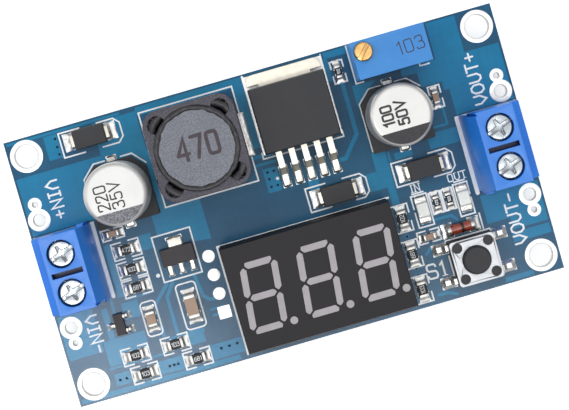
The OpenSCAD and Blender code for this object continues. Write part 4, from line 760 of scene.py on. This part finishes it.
# capacitors
ink((13.05, 3.6), (13.05, 10.0), (14.7, 11.6), (16.3, 11.6))
ink((18.2, 11.6), (19.8, 11.6), (21.3, 10.2))
ink((-22.5, 12.15), (-21.0, 12.15))
ink((-18.8, 12.15), (-17.3, 12.15), (-15.8, 10.5))
ink((-22.5, 12.15), (-24.2, 10.5), (-24.2, 9.4))
# inductor
ink((-2.35, 13.4), (-2.35, 16.9), (-15.0, 16.9), (-15.0, 4.1), (-2.35, 4.1), (-2.35, 7.3))
# regulator
ink((-0.95, 7.4), (-0.95, 6.6), (9.95, 6.6), (9.95, 7.4))
ink((-0.7, 7.9), (-0.7, 17.7), pen=0.3)
ink((9.9, 7.9), (9.9, 17.7), pen=0.14)
# power diodes
ink((5.85, 1.35), (3.15, 1.35), (3.15, -1.85), (5.9, -1.85))
ink((8.2, 1.35), (10.5, 1.35), (11.2, 0.65), (11.2, -1.2), (10.5, -1.85), (9.3, -1.85))
ink((17.7, 1.4), (14.85, 1.4), (14.85, -1.8), (17.7, -1.8))
ink((19.9, 1.4), (22.2, 1.4), (22.9, 0.7), (22.9, -1.1), (22.2, -1.8), (19.9, -1.8))
ink((-23.0, 17.2), (-25.8, 17.2), (-25.8, 13.95), (-23.0, 13.95))
ink((-20.6, 17.2), (-18.4, 17.2), (-17.7, 16.5), (-17.7, 14.65), (-18.4, 13.95), (-20.6, 13.95))
# meter regulator, its dot and the transistor
frameInk(-17.9, -5.3, -12.75, 0.8)
for x, y, r in ((-18.45, -4.2, 0.27), (0.1, 3.7, 0.22)):
    drawing.append(ringPath(x, y, r, count=16))
# boxes of the chip parts that lie across
for y in (0.25, -2.4, -4.85):
    frameInk(-23.3, y - 1.1, -19.65, y + 1.1, (-22.0, -20.95))
for x, y in ((-24.15, -13.4), (-18.75, -13.45), (-23.55, -16.05), (-16.45, -16.05)):
    frameInk(x - 1.8, y - 1.1, x + 1.8, y + 1.1, (x - 0.55, x + 0.55))
frameInk(-24.1, 2.0, -21.2, 3.4, (-23.0, -22.3))
frameInk(15.6, -9.9, 18.55, -8.3, (16.75, 17.4))
# boxes of the chip parts that stand
for y in (-5.9, -10.75, -15.55):
    ink((13.2, y + 1.8), (15.4, y + 1.8), (15.4, y + 0.6))
    ink((15.4, y - 0.6), (15.4, y - 1.8), (13.2, y - 1.8))
for x in (19.2, 20.85):
    frameInk(x - 0.72, -6.5, x + 0.72, -3.75, pen=0.26)
ink((10.75, 15.4), (10.75, 16.3), (12.4, 16.3), (12.4, 15.4))
ink((10.75, 14.4), (10.75, 13.4), (12.4, 13.4), (12.4, 14.4))
ink((22.15, 8.6), (22.15, 9.65), (23.7, 9.65), (23.7, 8.6))
ink((22.15, 7.8), (22.15, 6.75), (23.7, 6.75), (23.7, 7.8))
for x0, y0, x1, y1 in ((-21.85, -11.65, -19.85, -7.05), (-16.75, -12.2, -14.1, -6.1)):
    r = 0.5
    corners = [(x1 - r, y1 - r, 0), (x0 + r, y1 - r, 90), (x0 + r, y0 + r, 180),
               (x1 - r, y0 + r, 270)]
    ink(*[p for x, y, a in corners for p in ringPath(x, y, r, a, a + 90, 5)], closed=True)
# indicator lamps
ink((16.15, -5.2), (16.15, -3.5), (18.2, -3.5), (18.2, -7.75), (16.15, -7.75), (16.15, -5.7))
ink((16.4, -3.22), (17.9, -3.22))
ink((23.75, -5.2), (23.75, -3.5), (21.85, -3.5), (21.85, -7.8), (23.75, -7.8), (23.75, -5.7))
ink((22.1, -3.2), (23.5, -3.2))
# glass diode, button, display
ink((24.2, -8.0), (24.2, -10.1))
ink((18.85, -12.3), (18.85, -14.8))
ink((18.9, -10.3), (25.0, -10.3))
ink((-10.0, -17.4), (-10.0, -2.75), (13.3, -2.75), pen=0.26)
# words
for word, place, height, degrees, pen, gap in (
        ("VIN+", (-29.25, 11.55), 1.55, -90, 0.25, 0.3),
        ("VIN-", (-29.25, -6.85), 1.55, -90, 0.25, 0.3),
        ("VOUT+", (29.25, 5.7), 1.6, 90, 0.25, 0.24),
        ("VOUT-", (29.3, -13.3), 1.6, 90, 0.25, 0.24),
        ("iN", (16.5, -3.0), 0.95, 0, 0.15, 0.4), ("oUT", (21.5, -3.0), 0.95, 0, 0.15, 0.3)):
    writeSigns(drawing, word, place, height, degrees, pen, gap)
for x, y in ((16.56, -3.0), (16.56, -2.05), (17.0, -3.0), (17.0, -2.05), (17.6, -2.05),
             (22.48, -2.05), (23.06, -2.05), (23.68, -3.0)):  # serifs
    ink((x - 0.15, y), (x + 0.15, y), pen=0.1)
writeSigns(drawing, "S", (15.55, -14.6), 1.85, 0, 0.26, squeeze=1.25)
ink((17.4, -13.1), (17.75, -12.75), (17.75, -14.55), pen=0.26)
ink((17.4, -14.6), (18.1, -14.6), pen=0.12)
addDrawing("white_ink", drawing, boardTop, copperUnderMask["rise"] + inkLook["rise"], "whiteInk")
print("white ink done")


# prints on the parts

capPrint = {"faceInset": 0.35, "rise": 0.012, "sink": 0.002, "left": 1.78, "pitch": 1.84,
            "gap": 0.25}
# band: its ink and the chord that it ends at; rating: pen, height, shift up and its words
for name, band, chord, pen, height, up, words in (
        ("input_capacitor", "greyInk", -2.08, 0.19, 1.45, -0.1, ("220", "35v")),
        ("output_capacitor", "darkInk", -1.86, 0.28, 1.3, 0.25, ("100", "50v"))):
    node = name + "_can"
    low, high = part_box(node)
    cx, cy = ((low + high) / 2 / mm).xy
    z = high.z / mm - capPrint["sink"]
    r = (high.x - low.x) / 2 / mm - capPrint["faceInset"]
    begin = math.degrees(math.asin(chord / r))
    addDrawing(name + "_band", [ringPath(cx, cy, r, -180 - begin, begin, 30)], z,
               capPrint["rise"], band)
    drawing = []
    for k, word in enumerate(words):
        writeSigns(drawing, word, (cx - capPrint["left"] + k * capPrint["pitch"], cy + up),
                   height, 90, pen, gap=capPrint["gap"], centred=True)
    addDrawing(name + "_rating", drawing, z, capPrint["rise"], "darkInk")


def printWord(name, low, high, look):
    # a word on top of a part, placed from the middle of the part's box
    drawing = []
    middle = (low + high) / 2 / mm
    writeSigns(drawing, look["word"], (middle.x + look["at"][0], middle.y + look["at"][1]),
               *look["style"], centred=True)
    addDrawing(name, drawing, high.z / mm - look["sink"], look["rise"], look["ink"])


# style: height, degrees, pen, gap and squeeze
coilPrint = {"word": "470", "at": (0.1, 0.2), "style": (2.75, 0, 0.46, 0.24, 0.86),
             "sink": 0.002, "rise": 0.014, "ink": "brownInk"}
coreLow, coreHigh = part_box("inductor_core")
coreX, coreY = ((coreLow + coreHigh) / 2 / mm).xy
printWord("inductor_rating", coreLow, coreHigh, coilPrint)

trimPrint = {"word": "103", "at": (2.465, 0.1), "style": (1.6, 3, 0.13, 0.28, 1.1),
             "sink": 0.002, "rise": 0.012, "ink": "darkInk"}
trimLow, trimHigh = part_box("trimmer_housing")
printWord("trimmer_rating", trimLow, trimHigh, trimPrint)

chipPrint = {"codes": ("102", "103", "681", "102", "472", "103", "681"), "height": 0.42,
             "pen": 0.07, "gap": 0.24, "sink": 0.002, "rise": 0.006}
drawing = []
chips = islands("resistor_bodies")
for k, (low, high) in enumerate(chips):
    size = high - low
    writeSigns(drawing, chipPrint["codes"][k % len(chipPrint["codes"])], ((low + high) / 2).xy,
               min(size.x, size.y) * chipPrint["height"], 0 if size.x > size.y else 90,
               chipPrint["pen"], gap=chipPrint["gap"], centred=True)
addDrawing("resistor_codes", drawing, max(high.z for low, high in chips) - chipPrint["sink"],
           chipPrint["rise"], "whiteInk")
print("prints done")

# painted shade along the rims of the driver slots, riding on their screws
trimLook = {"turn": 47, "slot": 0.25, "reach": 1.0, "pen": 0.08, "sink": 0.006, "rise": 0.007}
low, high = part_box("trimmer_screw")
spin = Matrix.Rotation(math.radians(trimLook["turn"]), 2)
middle = ((low + high) / 2 / mm).xy
drawing = []
for side in (-1, 1):
    inkStroke(drawing, [middle + spin @ Vector((end * trimLook["reach"], side * trimLook["slot"]))
                        for end in (-1, 1)], trimLook["pen"])
# painted shade: two dark strokes beside the trimmer's slot stand in for the shade at its edges
addDrawing("trimmer_slot_shade", drawing, high.z / mm - trimLook["sink"], trimLook["rise"],
           "slotShadeOnBrass", "trimmer")

# a straight slot across a cross recess, with painted shade along their rims: where the rims start,
# how far they run
driveLook = {"turn": 20, "slot": 0.275, "cross": 1.15, "root": 0.42, "tip": 0.16, "reach": 1.5,
             "pen": 0.1, "sink": 0.004, "rise": 0.008}
root = driveLook["root"] * math.cos(math.radians(45))
crossArm = [(root, root), (driveLook["cross"], driveLook["tip"]),
            (driveLook["cross"], -driveLook["tip"]), (root, -root)]
slotArms = [[(root, root * side), (driveLook["reach"], driveLook["slot"] * side)]
            for side in (-1, 1)]
for pole in poles:
    low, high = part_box(pole + "_screw")
    middle = ((low + high) / 2 / mm).xy
    drawing = []
    for k in range(4):
        spin = Matrix.Rotation(math.radians(driveLook["turn"] + 90 * k), 2)
        for line in [crossArm] if k % 2 else slotArms:
            inkStroke(drawing, [middle + spin @ Vector(q) for q in line], driveLook["pen"])
    # painted shade: dark strokes along each rim stand in for the shade at the slot's edges
    addDrawing(pole + "_slot_shade", drawing, high.z / mm - driveLook["sink"], driveLook["rise"],
               "slotShadeOnSteel", pole + "_screw_body")


# inductor: potting in its ring and its corner pockets, and the coil's wire ends

def looseTube(bm, path, radius, wander, seed, closed=False, squash=1.0, sides=10):
    # a wandering bead along a path of points in mm
    count = len(path)
    loops = []
    for i, here in enumerate(path):
        before = path[(i - 1) % count] if closed or i else here
        after = path[(i + 1) % count] if closed or i < count - 1 else here
        along = (after - before).normalized()
        side = along.cross(Vector((0, 0, 1))).normalized()
        up = side.cross(along)
        r = radius * (1 + wander * noise.noise(Vector((i * 0.31, seed, 0))))
        off = side * radius * wander * 0.5 * noise.noise(Vector((i * 0.23, seed, 7)))
        taper = 1.0 if closed else min(1.0, 0.25 + min(i, count - 1 - i) / 3)
        loops.append([bm.verts.new((here + off + taper * r * (
            side * math.cos(2 * math.pi * k / sides)
            + up * squash * math.sin(2 * math.pi * k / sides))) * mm) for k in range(sides)])
    bridge(bm, loops, closed)
    if not closed:
        bm.faces.new(loops[0])
        bm.faces.new(loops[-1][::-1])


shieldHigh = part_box("inductor_shield")[1]
shieldTop = shieldHigh.z / mm
# a bead round the core and a pool in each pocket: how far out and how deep they lie, and how
# thick, flat and uneven they are
potting = {
    "groove": {"at": (coreHigh.x - coreLow.x) / 2 / mm + 0.22, "down": 0.12, "bead": 0.36,
               "squash": 0.42, "wander": 0.6},
    "pocket": {"at": 6.35, "bow": 0.55, "turn": 27.2, "down": 0.62, "bead": 0.62,
               "squash": 0.6, "wander": 0.35},
}
bm = bmesh.new()
look = potting["groove"]
path = [Vector((x, y, shieldTop - look["down"]))
        for x, y in ringPath(coreX, coreY, look["at"], count=96)]
looseTube(bm, path, look["bead"], look["wander"], 3.0, closed=True, squash=look["squash"])
look = potting["pocket"]
for k in range(4):
    path = []
    for t in [i / 8 for i in range(-8, 9)]:
        a = math.radians(45 + 90 * k + t * look["turn"])
        r = look["at"] - look["bow"] * t ** 2
        path.append(Vector((coreX + r * math.cos(a), coreY + r * math.sin(a),
                            shieldTop - look["down"])))
    looseTube(bm, path, look["bead"], look["wander"], 11.0 + k, squash=look["squash"])
addPiece("inductor_potting", bm, "blackResin")

# the coil's wire ends, an open loop in each pocket
loopLook = {"at": 6.6, "r": 0.5, "turn": 300, "down": 0.42, "lean": 0.1, "wire": 0.15,
            "wander": 0.2}
bm = bmesh.new()
for k in range(4):
    outward = math.radians(45 + 90 * k)
    cx = coreX + loopLook["at"] * math.cos(outward)
    cy = coreY + loopLook["at"] * math.sin(outward)
    path = []
    for i in range(15):
        a = math.radians(loopLook["turn"] * (i / 14 - 0.5))
        path.append(Vector((cx + loopLook["r"] * math.cos(outward + a),
                            cy + loopLook["r"] * math.sin(outward + a),
                            shieldTop - loopLook["down"] + loopLook["lean"] * math.cos(a))))
    looseTube(bm, path, loopLook["wire"], loopLook["wander"], 21.0 + k, sides=8)
addPiece("inductor_wire_loops", bm, "blackResin")

# solder on the clip beside the shield, rounded at its ends and its outer edge
clipLook = {"in": 0.15, "out": 0.8, "rise": 0.2, "ends": (7.45, 13.3), "lump": 0.05,
            "slope": 0.08, "lift": 0.02}


def clipSolder(u, v):
    foot = max(0, 1 - (2 * v - 1) ** 8) ** 0.5
    if u >= 0.5:
        foot *= max(0, 1 - (2 * u - 1) ** 6) ** 0.5
    lump = clipLook["lump"] * noise.noise(Vector((u * 2, v * 12, 5)))
    y0, y1 = clipLook["ends"]
    return point(shieldHigh.x / mm - clipLook["in"] + (clipLook["in"] + clipLook["out"]) * u,
                 y0 + (y1 - y0) * v, boardTop + clipLook["lift"]
                 + foot * (clipLook["rise"] + lump - clipLook["slope"] * u))


bm = bmesh.new()
sheet(bm, 8, 48, clipSolder)
addPiece("inductor_clip_solder", bm, "padTin")
print("inductor potting done")


# small parts: lamp insides, diode band

# a cup with its chip, a bond wire that arches to a bar
lampLook = {"cup": (0.52, 0.03), "chip": (0.24, 0.09), "cupAt": 0.25, "wireRun": 0.85,
            "wireFoot": 0.1, "arch": 0.75, "wire": 0.035, "barAt": -0.6, "bar": 0.45,
            "barPen": 0.16, "barRise": 0.02, "lift": 0.002}
bm = bmesh.new()
wires = bmesh.new()
for low, high in islands("lamp_lenses"):
    cx, cy = ((low + high) / 2).xy
    base = low.z + lampLook["lift"]
    for r, rise in (lampLook["cup"], lampLook["chip"]):
        raiseDrawing(bm, [ringPath(cx, cy + lampLook["cupAt"], r, count=20)], base, rise)
    path = [Vector((cx, cy + lampLook["cupAt"] - lampLook["wireRun"] * t,
                    low.z + lampLook["wireFoot"] + lampLook["arch"] * t * (1 - t)))
            for t in [i / 10 for i in range(11)]]
    looseTube(wires, path, lampLook["wire"], 0.1, 5.0, sides=6)
    bar = []
    inkStroke(bar, [(cx - lampLook["bar"], cy + lampLook["barAt"]),
                    (cx + lampLook["bar"], cy + lampLook["barAt"])], lampLook["barPen"])
    raiseDrawing(wires, bar, base, lampLook["barRise"])
addPiece("lamp_cups", bm, "tinPlate")
addPiece("lamp_bond_wires", wires, "screwBrass")

glassLow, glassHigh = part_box("signal_diode_glass")
bandLook = {"at": 0.56, "width": 0.45, "rise": 0.012, "tuck": 0.03, "sides": 32}
gx = (glassLow.x + (glassHigh.x - glassLow.x) * bandLook["at"]) / mm
gy, gz = (glassLow.y + glassHigh.y) / 2 / mm, (glassLow.z + glassHigh.z) / 2 / mm
gr = (glassHigh.y - glassLow.y) / 2 / mm
bm = bmesh.new()
loops = []
for share, grow in ((-0.5, -bandLook["tuck"]), (-0.44, bandLook["rise"]),
                    (0.44, bandLook["rise"]), (0.5, -bandLook["tuck"])):
    loops.append([bm.verts.new(point(gx + share * bandLook["width"], y, z))
                  for y, z in ringPath(gy, gz, gr + grow, count=bandLook["sides"])])
bridge(bm, loops)
addPiece("signal_diode_band", bm, "diodeInk")
print("small parts done")


# floor, light and camera

floorZ = min(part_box(n)[0].z for n in nodes)
bpy.ops.mesh.primitive_plane_add(size=3, location=(0, 0, floorZ - 0.00001))
floor = bpy.context.object
floor.name = "floor"
mat, tree, shader = newFinish("paleFloor")
shades = [(0.93, 0.93, 0.93, 1), (0.96, 0.96, 0.96, 1)]
plug(tree, shader, {"Base Color": stops(tree, grain(tree, 60, 2.0), shades), "Roughness": 0.9,
                    "Specular IOR Level": 0.1, "Emission Color": (1, 1, 1, 1),
                    "Emission Strength": 0.5})  # lit up like a light table
floor.data.materials.append(mat)
floor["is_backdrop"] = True

world = bpy.data.worlds.new("studio")
scene.world = world
world.use_nodes = True
plug(world.node_tree, world.node_tree.nodes["Background"],
     {"Color": (1, 1, 1, 1), "Strength": 0.46})

softboxes = {
    # place, aim, width, height, power, and whether it adds nothing but sheen
    "overheadSoftbox": ((0.0, 0.03, 0.46), (0, 0, 0), 0.8, 0.8, 2.02, False),
    "leftStrip": ((-0.36, 0.1, 0.22), (0, 0, 0), 0.1, 0.3, 0.3, False),
    "sheenStrip": ((-0.01, -0.068, 0.4), (-0.01, -0.01, 0), 0.19, 0.035, 0.15, True),
    "sheenPanel": ((-0.075, -0.055, 0.4), (-0.02, -0.01, 0), 0.06, 0.06, 0.13, True),
}
for name, (place, aim, width, height, power, sheenOnly) in softboxes.items():
    lamp = bpy.data.lights.new(name, "AREA")
    lamp.shape = "RECTANGLE"
    lamp.size, lamp.size_y, lamp.energy = width, height, power
    obj = bpy.data.objects.new(name, lamp)
    obj.location = place
    obj.rotation_euler = (Vector(aim) - Vector(place)).to_track_quat("-Z", "Y").to_euler()
    obj.visible_diffuse = not sheenOnly
    scene.collection.objects.link(obj)

viewLook = {"place": (-0.0000655, 0.0116769, 0.2522585), "turn": (-2.536, -0.751, -16.10),
            "lens": 121.39}
camera = bpy.data.objects.new("camera", bpy.data.cameras.new("camera"))
camera.location = viewLook["place"]
camera.rotation_euler = [math.radians(a) for a in viewLook["turn"]]
camera.data.lens = viewLook["lens"]
camera.data.sensor_width = 36
camera.data.clip_start = 0.01
scene.view_settings.view_transform = "Standard"
scene.collection.objects.link(camera)
scene.camera = camera

low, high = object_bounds()
print("visual box", [round(v / mm, 2) for v in (*low, *high)])
